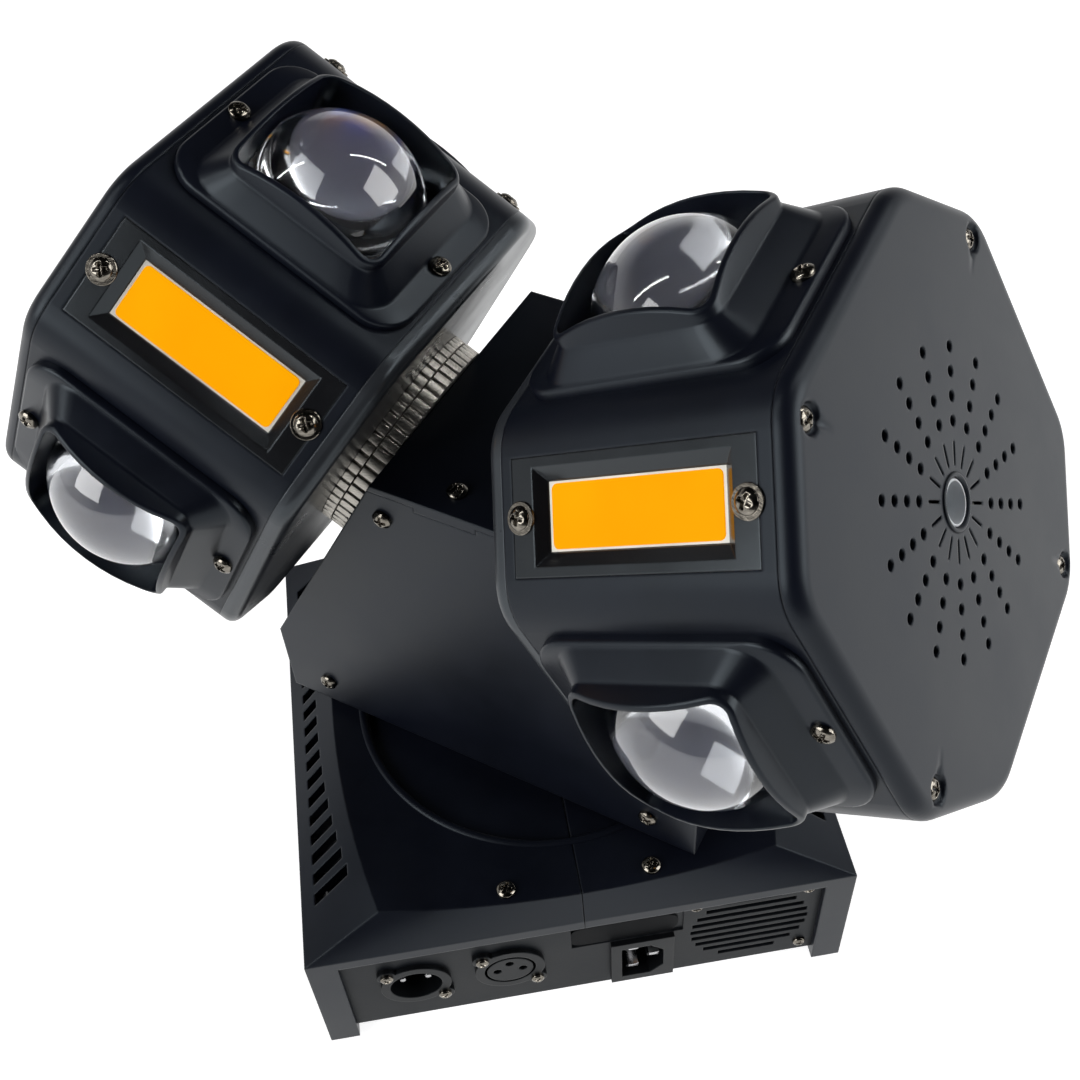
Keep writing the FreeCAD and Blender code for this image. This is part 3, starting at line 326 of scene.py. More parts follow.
def makeBrushGroup(look):
    # tool marks: noise stretched along one direction
    group, given, made = newGroup("toolMarks", {"Scale": 300.0}, "Height")
    stretch = addNode(group, "Mapping", {"Vector": given["Vector"], "Scale": look["stretch"]})
    wire(group, noiseNode(group, stretch.outputs["Vector"], given["Scale"], *look["noise"]), made["Height"])
    return group


grainGroup, wearGroup = makeGrainGroup(grainLook), makeWearGroup(wearLook)
dustGroup, brushGroup = makeDustGroup(dustLook), makeBrushGroup(brushLook)


def useGroup(tree, group, vector, **values):
    return addNode(tree, "Group", {"Vector": vector, **values}, node_tree=group).outputs


def startMaterial(name):
    material = bpy.data.materials.new(name)
    material.use_nodes = True
    tree = material.node_tree
    return material, tree, tree.nodes["Principled BSDF"], addNode(tree, "TexCoord", {}).outputs["Object"]


def roundedBump(tree, height, strength, depth, rounding, samples):
    # a fine height laid on a normal that rounds the edges
    bevel = addNode(tree, "Bevel", {"Radius": rounding}, samples=samples)
    return addNode(tree, "Bump", {
        "Strength": strength, "Distance": depth, "Height": height,
        "Normal": bevel.outputs["Normal"]}).outputs["Normal"]


plasticLook = {
    "edgeWidth": 0.0007, "wear": 0.5, "dust": 0.1, "dustRoughness": 0.4, "paler": 1.5,
    "tint": (0.8, 0.92, 1.0), "toneSpan": (0.3, 0.7), "roughSpan": (0.25, 0.75), "bump": 0.5, "samples": 6,
}


def plasticFinish(
        name, colour, worn, dust, roughness, spread, grainScale, grainDepth, gloss=0.5, rounding=0.0006):
    look = plasticLook
    material, tree, shader, coordinates = startMaterial(name)
    grain = useGroup(tree, grainGroup, coordinates, Scale=grainScale)
    rubbed = useGroup(tree, wearGroup, coordinates, Width=look["edgeWidth"], Amount=look["wear"])["Mask"]
    dusty = useGroup(tree, dustGroup, coordinates, Amount=look["dust"])["Mask"]
    paler = tuple(c * look["paler"] for c in colour)
    tone = mixColour(tree, rangeNode(tree, grain["Mottle"], look["toneSpan"]), colour, paler)
    tone = mixColour(tree, dusty, mixColour(tree, rubbed, tone, worn), dust)
    rough = rangeNode(tree, grain["Mottle"], look["roughSpan"], (roughness - spread, roughness + spread))
    rough = mathNode(tree, "ADD", rough, mathNode(tree, "MULTIPLY", dusty, look["dustRoughness"]), True)
    feed(tree, shader, {
        "Base Color": tone, "Roughness": rough, "Specular IOR Level": gloss, "Specular Tint": look["tint"],
        "Normal": roundedBump(tree, grain["Height"], look["bump"], grainDepth, rounding, look["samples"])})
    return material


metalLook = {
    "dust": 0.05, "dustColour": (0.3, 0.29, 0.27), "toneSpan": (0.3, 0.7), "roughSpan": (0.25, 0.75),
    "bump": 0.4, "samples": 4,
}


def metalFinish(name, colour, dark, roughness, spread, markScale=300.0, markDepth=0.00002, rounding=0.0003):
    look = metalLook
    material, tree, shader, coordinates = startMaterial(name)
    marks = useGroup(tree, brushGroup, coordinates, Scale=markScale)["Height"]
    dusty = useGroup(tree, dustGroup, coordinates, Amount=look["dust"])["Mask"]
    tone = mixColour(tree, rangeNode(tree, marks, look["toneSpan"]), dark, colour)
    rough = rangeNode(tree, marks, look["roughSpan"], (roughness - spread, roughness + spread))
    feed(tree, shader, {
        "Base Color": mixColour(tree, dusty, tone, look["dustColour"]), "Roughness": rough, "Metallic": 1.0,
        "Normal": roundedBump(tree, marks, look["bump"], markDepth, rounding, look["samples"])})
    return material


def cloudedFinish(name, noise, values):
    # plain values as they are, and a span with two ends that follow one soft noise
    material, tree, shader, coordinates = startMaterial(name)
    cloud = noiseNode(tree, coordinates, *noise)
    for key, value in values.items():
        if isinstance(value, tuple):
            span, low, high = value
            if isinstance(low, tuple):
                value = mixColour(tree, rangeNode(tree, cloud, span), low, high)
            else:
                value = rangeNode(tree, cloud, span, (low, high))
        feed(tree, shader, {key: value})
    return material


black, scuff = (0.0028, 0.0036, 0.0075), (0.03, 0.031, 0.034)
plastics = {
    # name, colour, worn colour, dust colour, roughness and its spread, grain scale and depth,
    # then the gloss and the rounding of the edges where they aren't the usual ones
    "moulding": ("satinBlackMoulding", black, scuff, scuff, 0.36, 0.04, 2400.0, 0.000016, 0.26, 0.001),
    "hood": ("satinBlackHood", black, (0.028, 0.029, 0.032), scuff, 0.32, 0.04, 2600.0, 0.000012, 0.3),
    "steelCoat": (
        "powderCoat", (0.0042, 0.005, 0.0066), (0.05, 0.05, 0.052), (0.04, 0.04, 0.042),
        0.42, 0.05, 1500.0, 0.00004, 0.13),
    "glossBlack": ("glossBlack", (0.005, 0.005, 0.006), 0.02, 0.04, 0.2, 0.04, 1800.0, 0.000006),
    "connector": ("connectorBlack", (0.0025, 0.0028, 0.0035), 0.03, 0.05, 0.36, 0.06, 2200.0, 0.00001, 0.14),
    "capRim": ("innerCapGrey", (0.02, 0.022, 0.026), (0.08, 0.08, 0.085), 0.08, 0.3, 0.05, 2000.0, 0.000008),
    "rubber": ("beltRubber", (0.012, 0.012, 0.012), 0.03, 0.06, 0.75, 0.08, 900.0, 0.00006),
    "board": ("boardGreen", (0.012, 0.07, 0.03), (0.05, 0.12, 0.07), 0.1, 0.35, 0.06, 700.0, 0.00003),
    "window": ("displayWindow", (0.004, 0.006, 0.01), (0.02, 0.02, 0.03), 0.06, 0.1, 0.03, 2000.0, 0.000002),
    "silverBorder": ("windowBorder", (0.72, 0.69, 0.62), 0.6, 0.4, 0.35, 0.05, 1500.0, 0.00001),
    "tube": ("axleTubeGrey", (0.62, 0.64, 0.66), 0.5, 0.3, 0.4, 0.06, 900.0, 0.00002),
    "inlay": ("stripInlay", (0.003, 0.003, 0.0035), 0.02, 0.03, 0.6, 0.06, 900.0, 0.00002, 0.08),
}
metals = {
    # name, colour, dark colour, roughness and its spread, then scale and depth of the marks and the rounding
    "fins": ("finAluminium", (0.82, 0.78, 0.71), (0.5, 0.475, 0.43), 0.46, 0.1),
    "screws": ("blackNickel", (0.3, 0.275, 0.235), (0.07, 0.064, 0.055), 0.16, 0.06, 500.0, 0.00001, 0.0002),
    "steel": ("bareSteel", (0.6, 0.6, 0.61), (0.4, 0.4, 0.41), 0.28, 0.08),
    "zinc": ("zincSheet", (0.5, 0.51, 0.53), (0.33, 0.34, 0.36), 0.42, 0.1, 120.0),
    "motor": ("motorShell", (0.08, 0.08, 0.085), (0.04, 0.04, 0.045), 0.4, 0.1),
}
clouded = {
    # name, noise, then the shader's inputs
    "glass": ("lensGlass", (60.0, 3.0, 0.5), {
        "Base Color": ((0.35, 0.65), (0.78, 0.81, 0.85), (0.92, 0.94, 0.97)),
        "Roughness": ((0.3, 0.8), 0.07, 0.12), "Transmission Weight": 1.0, "IOR": 1.49,
        "Coat Weight": 1.0, "Coat Roughness": 0.01}),
    # half mirror and half pale paint, clouded so softly that a lens can magnify it
    "cup": ("reflectorSilver", (28.0, 2.0, 0.4), {
        "Base Color": ((0.3, 0.7), (0.72, 0.73, 0.76), (0.86, 0.87, 0.9)),
        "Roughness": ((0.3, 0.7), 0.2, 0.3), "Metallic": 0.35}),
    # an even amber glow on a matt face, painted light: the emission stands in for the light falling on the
    # amber panel
    "amber": ("amberPanelPaintedGlow", (45.0, 2.0, 0.4), {
        "Emission Color": ((0.3, 0.7), (1.0, 0.375, 0.0), (1.0, 0.41, 0.0005)), "Emission Strength": 0.86,
        "Base Color": ((0.0, 1.0), (0.20, 0.08, 0.0), (0.24, 0.1, 0.0)),
        "Roughness": 0.5, "Specular IOR Level": 0.02}),
}
# emitter chips: dies under resin with a painted glow that stands in for blue and amber glints, deep colour
# and bright colour
chipColoursAndPaintedGlow = {
    "chipBlue": ((0.01, 0.06, 0.5), (0.02, 0.12, 0.8)),
    "chipAmber": ((0.5, 0.2, 0.02), (0.8, 0.4, 0.06)),
}
for chipName, ends in chipColoursAndPaintedGlow.items():
    clouded[chipName] = (chipName, (400.0, 3.0, 0.5), {
        "Base Color": ((0.3, 0.7), *ends), "Emission Color": ((0.3, 0.7), *ends),
        "Emission Strength": 0.9, "Roughness": ((0.3, 0.7), 0.2, 0.35)})

finishes = {key: plasticFinish(*row) for key, row in plastics.items()}
finishes.update({key: metalFinish(*row) for key, row in metals.items()})
finishes.update({key: cloudedFinish(*row) for key, row in clouded.items()})
# the longest beginning that fits a node's name wins
finishOfNode = {
    "base_shell": "moulding", "base_chassis": "zinc", "connector_panel": "steelCoat",
    "control_panel": "steelCoat", "display_module": "window", "button": "glossBlack", "signal": "connector",
    "power_inlet": "connector", "fan": "connector", "power_supply": "zinc", "control_board": "board",
    "pan_motor": "motor", "pan_motor_pulley": "fins", "pan_belt": "rubber", "pan_bearing": "steel",
    "base_screws": "screws", "arm_": "moulding", "arm_frame": "zinc", "arm_screws": "screws",
    "pan_spindle": "fins", "tilt_bearing": "fins", "tilt_motor": "motor", "tilt_motor_pulley": "fins",
    "tilt_belt": "rubber", "drum": "moulding", "outer_cap": "moulding", "inner_cap": "capRim",
    "fin_collar": "fins", "head_axle": "steel", "head_pulley": "fins", "lamp_core": "fins",
    "head_screws": "screws", "lens_hoods": "hood", "lenses": "glass", "strobe_plates": "glossBlack",
    "strobe_panels": "silverBorder",
}
for nodeName, nodeObject in nodes.items():
    longest = max((key for key in finishOfNode if nodeName.startswith(key)), key=len)
    nodeObject.data.materials.clear()
    nodeObject.data.materials.append(finishes[finishOfNode[longest]])
print("stage 2: finishes on the CAD nodes")


def roundedRectangle(halfX, halfY, corner, cornerSamples=9, sideSamples=7):
    # quarter circles with straight sides between them, the same count of points for any size
    arcs = []
    for quarter, signs in enumerate(((1, 1), (-1, 1), (-1, -1), (1, -1))):
        angle = np.linspace(0, np.pi / 2, cornerSamples) + quarter * np.pi / 2
        arcs.append(np.array(signs) * (halfX - corner, halfY - corner) + corner * circlePoints(angle))
    share = np.linspace(0, 1, sideSamples + 2)[1:-1, None]
    loops = []
    for arc, following in zip(arcs, arcs[1:] + arcs[:1]):
        loops += [arc, arc[-1] * (1 - share) + following[0] * share]
    return np.concatenate(loops)


def slabSurface(halfX, halfY, corner, steps, samples):
    # a rounded slab whose rows narrow by a share of its half width, down to a slit that closes it
    rows = []
    for share, height in steps:
        narrow = max(halfY * share, meshSettings["slit"])
        xy = roundedRectangle(halfX - halfY * (1 - share), narrow, min(corner, narrow), *samples)
        rows.append(levelRow(xy, height))
    return sleeve(rows)


def stubSurface(halfX, halfY, corner, foot, top, crown, cornerSamples, lip=0.3):
    # a small column whose end narrows to the crown's share and then to a point that closes it
    rows = []
    for share, height in ((1.0, foot), (1.0, top - lip), (crown, top), (0.0, top)):
        x, y = (max(half * share, meshSettings["slit"]) for half in (halfX, halfY))
        xy = roundedRectangle(x, y, max(corner * share, meshSettings["point"]), cornerSamples, 1)
        rows.append(levelRow(xy, height))
    return sleeve(rows)


# lens hoods: a rounded rectangle carried up a profile, its rim cut by a sphere
hoodShape = {
    # half length, half width and corner of each outline, and the levels
    "flange": (41.0, 32.5, 12.0), "foot": (33.4, 31.3, 10.0),
    "tube": (26.0, 26.0, 6.0), "bore": (24.2, 24.2, 4.2),
    "drumFace": 77.0, "flangeTop": 80.0, "riserTop": 87.6, "sphereRadius": 68.0, "sphereCentre": 32.0,
    # the rows: which outline, what it grows by, above which level and how far
    "steps": (
        ("flange", (0, 0, 0), "drumFace", -0.2),
        ("flange", (0, 0, 0), "flangeTop", -1.12),
        ("flange", (-0.24, -0.24, -0.24), "flangeTop", -0.48),
        ("flange", (-0.96, -0.96, -0.96), "flangeTop", 0),
        ("foot", (0.6, 0.3, 0.2), "flangeTop", 0.02),
        ("foot", (-0.1, -0.1, 0), "flangeTop", 0.35),
        ("foot", (-0.7, -0.5, -0.2), "flangeTop", 1.1),
        ("tube", (1.0, 0.9, 1.2), "riserTop", -0.7),
        ("tube", (0.5, 0.5, 0.7), "riserTop", -0.15),
        ("tube", (0.12, 0.12, 0.2), "riserTop", 0.25),
        ("tube", (0, 0, 0), "riserTop", 0.8),
        ("tube", (0, 0, 0), "rim", -0.5),
        ("tube", (-0.15, -0.15, -0.1), "rim", -0.12),
        ("tube", (-0.6, -0.6, -0.4), "rim", 0),
        ("bore", (0.5, 0.5, 0.5), "rim", 0),
        ("bore", (0.1, 0.1, 0), "rim", -0.2),
        ("bore", (0, 0, 0), "rim", -0.7),
        ("bore", (0, 0, 0), "drumFace", 0),
    ),
}


def hoodSurface(s):
    # rim height = centre + square root of radius squared less the distance squared
    rows = []
    for outline, growth, level, lift in s["steps"]:
        xy = roundedRectangle(*(size + more for size, more in zip(s[outline], growth)))
        if level == "rim":
            height = s["sphereCentre"] + np.sqrt(s["sphereRadius"] ** 2 - (xy ** 2).sum(-1))
        else:
            height = s[level]
        rows.append(levelRow(xy, height + lift))
    return sleeve(rows)


# lenses: a square plate whose top swells into a ball
lensShape = {
    "half": 24.0, "base": 77.2, "flangeTop": 79.0, "ballRadius": 28.0, "ballCentre": 73.0,
    "belly": 8.0, "bellyReach": 19.0, "blend": 0.8, "samples": 61,
}


def borderOfGrid(n):
    # indices once round the rim of an n by n grid
    return np.concatenate([
        np.arange(n) * n, (n - 1) * n + np.arange(1, n),
        np.arange(n - 2, -1, -1) * n + n - 1, np.arange(n - 2, 0, -1)])


def lensSurface(s):
    # top = smooth maximum of the flange level and the ball, closed by a skirt and a floor
    # that bellies down into the cup, so that the light from the cup isn't thrown back
    n = s["samples"]
    axis = np.sin(np.linspace(-np.pi / 2, np.pi / 2, n)) * s["half"]
    x, y = np.meshgrid(axis, axis, indexing="ij")
    reach = s["ballRadius"] ** 2 - x ** 2 - y ** 2
    ball = s["ballCentre"] + np.sign(reach) * np.sqrt(np.abs(reach))
    top = (s["flangeTop"] + ball + np.sqrt((ball - s["flangeTop"]) ** 2 + s["blend"] ** 2)) / 2
    belly = s["belly"] * np.clip(1 - (x ** 2 + y ** 2) / s["bellyReach"] ** 2, 0, 1)
    points = np.concatenate([np.stack([x, y, z], -1).reshape(-1, 3) for z in (top, s["base"] - belly)])
    sheet, rim = gridQuads(n, n), borderOfGrid(n)
    following = np.roll(rim, -1)
    skirt = np.stack([rim, rim + n * n, following + n * n, following], -1)
    return points, np.concatenate([sheet[:, ::-1], sheet + n * n, skirt[:, ::-1]])


# reflector cups: a square mouth that narrows to a round throat
cupShape = {"mouth": 19.9, "throat": 11.0, "top": 77.0, "bottom": 42.0, "flare": 0.75, "rows": 14, "cols": 64}


def cupSurface(s):
    # radius = mouth to throat by (1 - t) to the power of the flare, the outline turning from
    # a square to a circle on the way
    t = np.linspace(0, 1, s["rows"])[:, None]
    angle = roundTurn(s["cols"])
    squareness = 1 / np.maximum(np.abs(np.cos(angle)), np.abs(np.sin(angle)))
    wide = (1 - t) ** s["flare"]
    radius = s["mouth"] * squareness * wide + s["throat"] * (1 - wide)
    return turned(zip(radius, s["top"] + (s["bottom"] - s["top"]) * t), angle)


# emitter chips: four small square dies at the foot of each cup
chipShape = {"half": 3.6, "step": 3.9, "foot": 40.3, "top": 42.4, "lip": 0.3}


def chipSurface(s):
    half, crown = s["half"], (s["half"] - s["lip"]) / s["half"]
    return stubSurface(half, half, meshSettings["point"], s["foot"], s["top"], crown, 2, s["lip"])


# screws: a crowned disc with a cross sunk into it, and a flat washer with rounded lips
screwShape = {
    "radius": 3.3, "height": 2.3, "crown": 1.15, "barHalf": 0.42, "barReach": 1.95, "depth": 1.2,
    "softness": 0.07, "bulge": (1.02, 1.02, 0.55), "samples": 29,
}
washerShape = {"inner": 2.6, "outer": 4.6, "height": 0.7, "lip": 0.2, "drop": 0.3, "samples": 40}


def screwSurface(s):
    # height = crown minus a cross-shaped recess, over a grid squeezed into a circle, then a skirt
    n = s["samples"]
    axis = np.linspace(-1, 1, n)
    u, v = np.meshgrid(axis, axis, indexing="ij")
    u, v = u * np.sqrt(1 - v ** 2 / 2), v * np.sqrt(1 - u ** 2 / 2)
    x, y, z = u * s["radius"], v * s["radius"], s["height"] - s["crown"] * np.sqrt(u ** 2 + v ** 2) ** 3
    bars = []
    for across, along in ((x, y), (y, x)):
        width = softStep(np.abs(across), s["barHalf"], s["softness"])
        bars.append(width * softStep(np.abs(along), s["barReach"], s["softness"]))
    top = np.stack([x, y, z - s["depth"] * np.maximum(*bars)], -1).reshape(-1, 3)
    ring = top[borderOfGrid(n)]
    skirt, quads = sleeve([ring, ring * s["bulge"], ring * (1.0, 1.0, 0.0)])
    return joinParts([(top, gridQuads(n, n)[:, ::-1]), (skirt, quads[:, ::-1])])


def washerSurface(s):
    inner, outer, height, lip = s["inner"], s["outer"], s["height"], s["lip"]
    profile = (
        (outer, 0.0), (outer, height - lip), (outer - lip, height), (inner + lip, height),
        (inner, height - s["drop"]))
    return turned(profile, roundTurn(s["samples"]))


# fin rings: a toothed outline carried across the ring's width
finShape = {
    "fins": 58, "outer": 38.0, "root": 37.1, "inner": 13.0, "chamfer": 0.16,
    "turns": (0.02, 0.2, 0.34, 0.44, 0.5, 0.56, 0.66, 0.8), "lands": (1, 0.97, 0.85, 0.3, 0, 0.3, 0.85, 0.97),
    "collarSpan": (56.3, 60.0), "fixedSpan": (50.3, 56.0), "barrel": (22.0, 38.0),
}


def finRing(s, start, end, barrel=()):
    # radius = root or tip by the share of one fin's turn, swept along the axis with chamfered flanks
    turns = np.arange(s["fins"])[:, None] + np.array(s["turns"])
    angle = (turns * 2 * np.pi / s["fins"]).ravel()
    tip = s["root"] + (s["outer"] - s["root"]) * np.tile(s["lands"], s["fins"])
    inner, chamfer = s["inner"], s["chamfer"]
    profile = [
        (inner, start), (tip - chamfer, start), (tip, start + chamfer), (tip, end - chamfer),
        (tip - chamfer, end), (inner, end)]
    if barrel:  # the bearing's barrel goes on inwards from the ring's near side
        radius, foot = barrel
        profile[:1] = [(inner, foot), (radius, foot), (radius, start)]
    return turned(profile, angle, wrapRows=True)


# the outer cap: an eight-sided plate with vents, slots, screw wells and a rounded edge
capShape = {
    "lensFace": 77.0, "strobeFace": 84.0, "blend": 20.0, "arcSamples": 9, "flatSamples": 10,
    "edge": 5.0, "edgeSteps": 9, "tuck": 1.2, "bottom": 151.15, "top": 156.4,
    "spokes": 16, "rings": 4, "firstRing": 22.3, "ringStep": 6.8,
    "hole": 1.55, "holeDepth": 2.4, "holeEdge": 0.25, "holeLip": 0.12, "holeSamples": 24,
    "slotInner": 10.2, "slotOuter": 16.6, "slotHalf": 0.45, "slotEnds": 2.2,
    "hub": ((8.3, 0.0), (8.2, 0.385), (7.7, 0.55), (7.4, 0.55), (6.9, 0.05), (6.9, -0.8)),
    "wellCircle": 77.5, "wellTurn": 13.9, "wellRadius": 4.0, "wellDepth": 1.5, "wellSoftness": 0.12,
    "wellSpan": 0.078, "wellColumns": 25, "wellReach": (-5.6, 1.0), "wellRows": 17, "coarseRows": 8,
}


def outlineLoop(s):
    # the rounded eight-sided outline: points and outward normals, face by face
    eighth = math.pi / 4
    halfStrobe = (s["lensFace"] - s["strobeFace"] * math.cos(eighth)) / math.sin(eighth)
    halfLens = (s["strobeFace"] - s["lensFace"] * math.cos(eighth)) / math.sin(eighth)
    cut = s["blend"] * math.tan(eighth / 2)
    points, normals = [], []
    for face in range(8):
        apothem, half = (s["lensFace"], halfLens) if face % 2 else (s["strobeFace"], halfStrobe)
        turn = face * eighth
        out, along = circlePoints(turn), circlePoints(turn + math.pi / 2)
        side = np.linspace(-(half - cut), half - cut, s["flatSamples"])[:, None]
        ray = circlePoints(turn + np.linspace(0, eighth, s["arcSamples"] + 2)[1:-1])
        centre = out * (apothem - s["blend"]) + along * (half - cut)
        points += [out * apothem + along * side, centre + s["blend"] * ray]
        normals += [np.repeat(out[None], s["flatSamples"], 0), ray]
    return np.concatenate(points), np.concatenate(normals)


def ventPatch(s, radius, halfStep, rim):
    # the hole's wall, then quads from its rim to the border of its polar cell
    square = circlePoints(roundTurn(s["holeSamples"]))
    square = square / np.abs(square).max(-1, keepdims=True)
    border = (radius + halfStep * square[:, :1]) * circlePoints(square[:, 1] * np.pi / s["spokes"])
    lip = rim + (rim - (radius, 0)) * s["holeLip"]
    rows = [levelRow(rim, s["top"] - depth) for depth in (s["holeDepth"], s["holeEdge"])]
    rows += [levelRow(lip * (1 - share) + border * share, s["top"]) for share in (0.0, 0.25, 1.0)]
    return sleeve(rows)


def capField(s, cellAngles):
    # straight rays from the last vents to the outline, then a quarter round and the side wall
    outline, normals = outlineLoop(s)
    border = np.mod(np.arctan2(outline[:, 1], outline[:, 0]), 2 * np.pi)
    wellAngles = np.radians(90 * np.arange(4) - s["wellTurn"])
    fine = wellAngles[:, None] + np.linspace(-1, 1, s["wellColumns"]) * s["wellSpan"]
    turns = np.concatenate([border, cellAngles, fine.ravel()])
    turns = np.unique(np.round(np.mod(turns, 2 * np.pi), 6))
    order = np.argsort(border)
    around = np.concatenate([border[order] + turn for turn in (-2 * np.pi, 0, 2 * np.pi)])

    def pick(values):
        return np.stack([np.interp(turns, around, np.tile(values[order, k], 3)) for k in (0, 1)], -1)

    edgePoint, edgeNormal = pick(outline), pick(normals)
    edgeNormal /= np.linalg.norm(edgeNormal, axis=-1, keepdims=True)
    ringEnd = s["firstRing"] + (s["rings"] - 0.5) * s["ringStep"]
    cells = np.append(cellAngles, cellAngles[0] + 2 * np.pi)
    corners = ringEnd * circlePoints(cells)
    ends = np.mod(turns - cells[0], 2 * np.pi) + cells[0]
    index = np.clip(np.searchsorted(cells, ends, side="right") - 1, 0, len(cells) - 2)
    share = ((ends - cells[index]) / (cells[index + 1] - cells[index]))[:, None]
    inner = corners[index] * (1 - share) + corners[index + 1] * share
    flatEdge = edgePoint - edgeNormal * s["edge"]
    wells = np.linspace(*(s["wellCircle"] + reach for reach in s["wellReach"]), s["wellRows"])
    wells = (wells - ringEnd) / (s["strobeFace"] - s["edge"] - ringEnd)
    radial = np.unique(np.concatenate([np.linspace(0, 1, s["coarseRows"]), wells]))
    radial = radial[(radial >= 0) & (radial <= 1)]
    rows = [levelRow(inner * (1 - share) + flatEdge * share, s["top"]) for share in radial]
    for step in np.linspace(0, np.pi / 2, s["edgeSteps"])[1:]:
        xy = flatEdge + edgeNormal * s["edge"] * math.sin(step)
        rows.append(levelRow(xy, s["top"] - s["edge"] * (1 - math.cos(step))))
    rows += [levelRow(edgePoint - edgeNormal * tuck, s["bottom"]) for tuck in (0, s["tuck"])]
    field, quads = sleeve(rows)
    wellFloor = s["top"] - s["wellDepth"]
    for angle in wellAngles:
        away = np.linalg.norm(field[:, :2] - s["wellCircle"] * circlePoints(angle), axis=-1)
        sink = softStep(away, s["wellRadius"], s["wellSoftness"])
        height = field[:, 2]
        field[:, 2] = np.where(height > wellFloor, height * (1 - sink) + wellFloor * sink, height)
    return field, quads


def capSurface(s):
    spokes = [turnAbout("Z", 360.0 * k / s["spokes"]) for k in range(s["spokes"])]
    circle = circlePoints(roundTurn(s["holeSamples"]))
    parts = []
    for ring in range(s["rings"]):
        radius = s["firstRing"] + ring * s["ringStep"]
        parts.append(stamp(ventPatch(s, radius, s["ringStep"] / 2, s["hole"] * circle + (radius, 0)), spokes))
    # the slots lie between the hub and the first ring of holes
    ringStart, hubOuter = s["firstRing"] - s["ringStep"] / 2, s["hub"][0][0]
    cellHalf = (ringStart - hubOuter) / 2
    slotReach = (s["slotOuter"] - s["slotInner"]) / 2 - s["slotHalf"]
    slot = s["slotHalf"] * circle + ((s["slotInner"] + s["slotOuter"]) / 2, 0)
    slot[:, 0] += slotReach * np.clip(circle[:, 0] * s["slotEnds"], -1, 1)
    parts.append(stamp(ventPatch(s, ringStart - cellHalf, cellHalf, slot), spokes))
    # the cells' border points stand at these turns, so that hub and field meet them point to point
    tangents = np.tan(np.radians((-45, -30, -15, 0, 15, 30)))
    cellAngles = (2 * np.arange(s["spokes"])[:, None] + tangents) * np.pi / s["spokes"]
    cellAngles = np.unique(np.round(cellAngles, 9))
    parts.append(turned([(radius, s["top"] + lift) for radius, lift in s["hub"]], cellAngles))
    parts.append(capField(s, cellAngles))
    return joinParts(parts)


# the pale tube that shows in the cap's middle, open at its top
tubeShape = {"radius": 6.7, "wall": 0.8, "lip": 0.3, "foot": 138.0, "top": 156.2, "samples": 40}


def tubeSurface(s):
    # outer wall, lip and inner wall, joined at the foot
    radius, bore, foot, top, lip = s["radius"], s["radius"] - s["wall"], s["foot"], s["top"], s["lip"]
    profile = ((radius, foot), (radius, top - lip), (radius - lip, top), (bore, top), (bore, foot))
    return turned(profile, roundTurn(s["samples"]), wrapRows=True)


# the strobe's amber panel: half length, half width, corner, then share of the half width and height
glowShape = {
    "size": (27.1, 8.7, 1.6), "level": 81.35, "samples": (5, 9),
    "steps": ((1.0, -1.2), (1.0, -0.25), (0.985, 0.0), (0.9, 0.04), (0.6, 0.05), (0.3, 0.05), (0.0, 0.05)),
}


def glowSurface(s):
    steps = [(share, s["level"] + height) for share, height in s["steps"]]
    return slabSurface(*s["size"], steps, s["samples"])


# the screws of a head: where they sit, and how far each cross is turned, in degrees
headScrews = {
    "cap": {"height": 153.75, "turn": (37, 11)},
    "hood": {"reach": 36.9, "height": 80.0, "turn": (31, 20)},
    "strobe": {"reach": 35.7, "height": 84.0, "turn": (23, 40)},
}


def capScrews(head, height, turn):
    places = []
    for k in range(4):
        spot = turnAbout("Z", 90 * k - capShape["wellTurn"]) @ shift(capShape["wellCircle"], 0, height)
        places.append(head @ spot @ turnAbout("Z", turn[0] * k + turn[1]))
    return places


def facePairs(head, angles, reach, height, turn):
    # two screws on each of the faces, one near each end
    places = []
    for number, angle in enumerate(angles):
        for end in (-1, 1):
            spot = faceFrame(angle) @ shift(end * reach, 0, height)
            places.append(head @ spot @ turnAbout("Z", turn[0] * number + turn[1] * end))
    return places


screwPart, washerPart, hoodPart = screwSurface(screwShape), washerSurface(washerShape), hoodSurface(hoodShape)
lensPart, cupPart, chipPart = lensSurface(lensShape), cupSurface(cupShape), chipSurface(chipShape)
capPart, tubePart, glowPart = capSurface(capShape), tubeSurface(tubeShape), glowSurface(glowShape)
collarPart = finRing(finShape, *finShape["collarSpan"])
fixedPart = finRing(finShape, *finShape["fixedSpan"], finShape["barrel"])

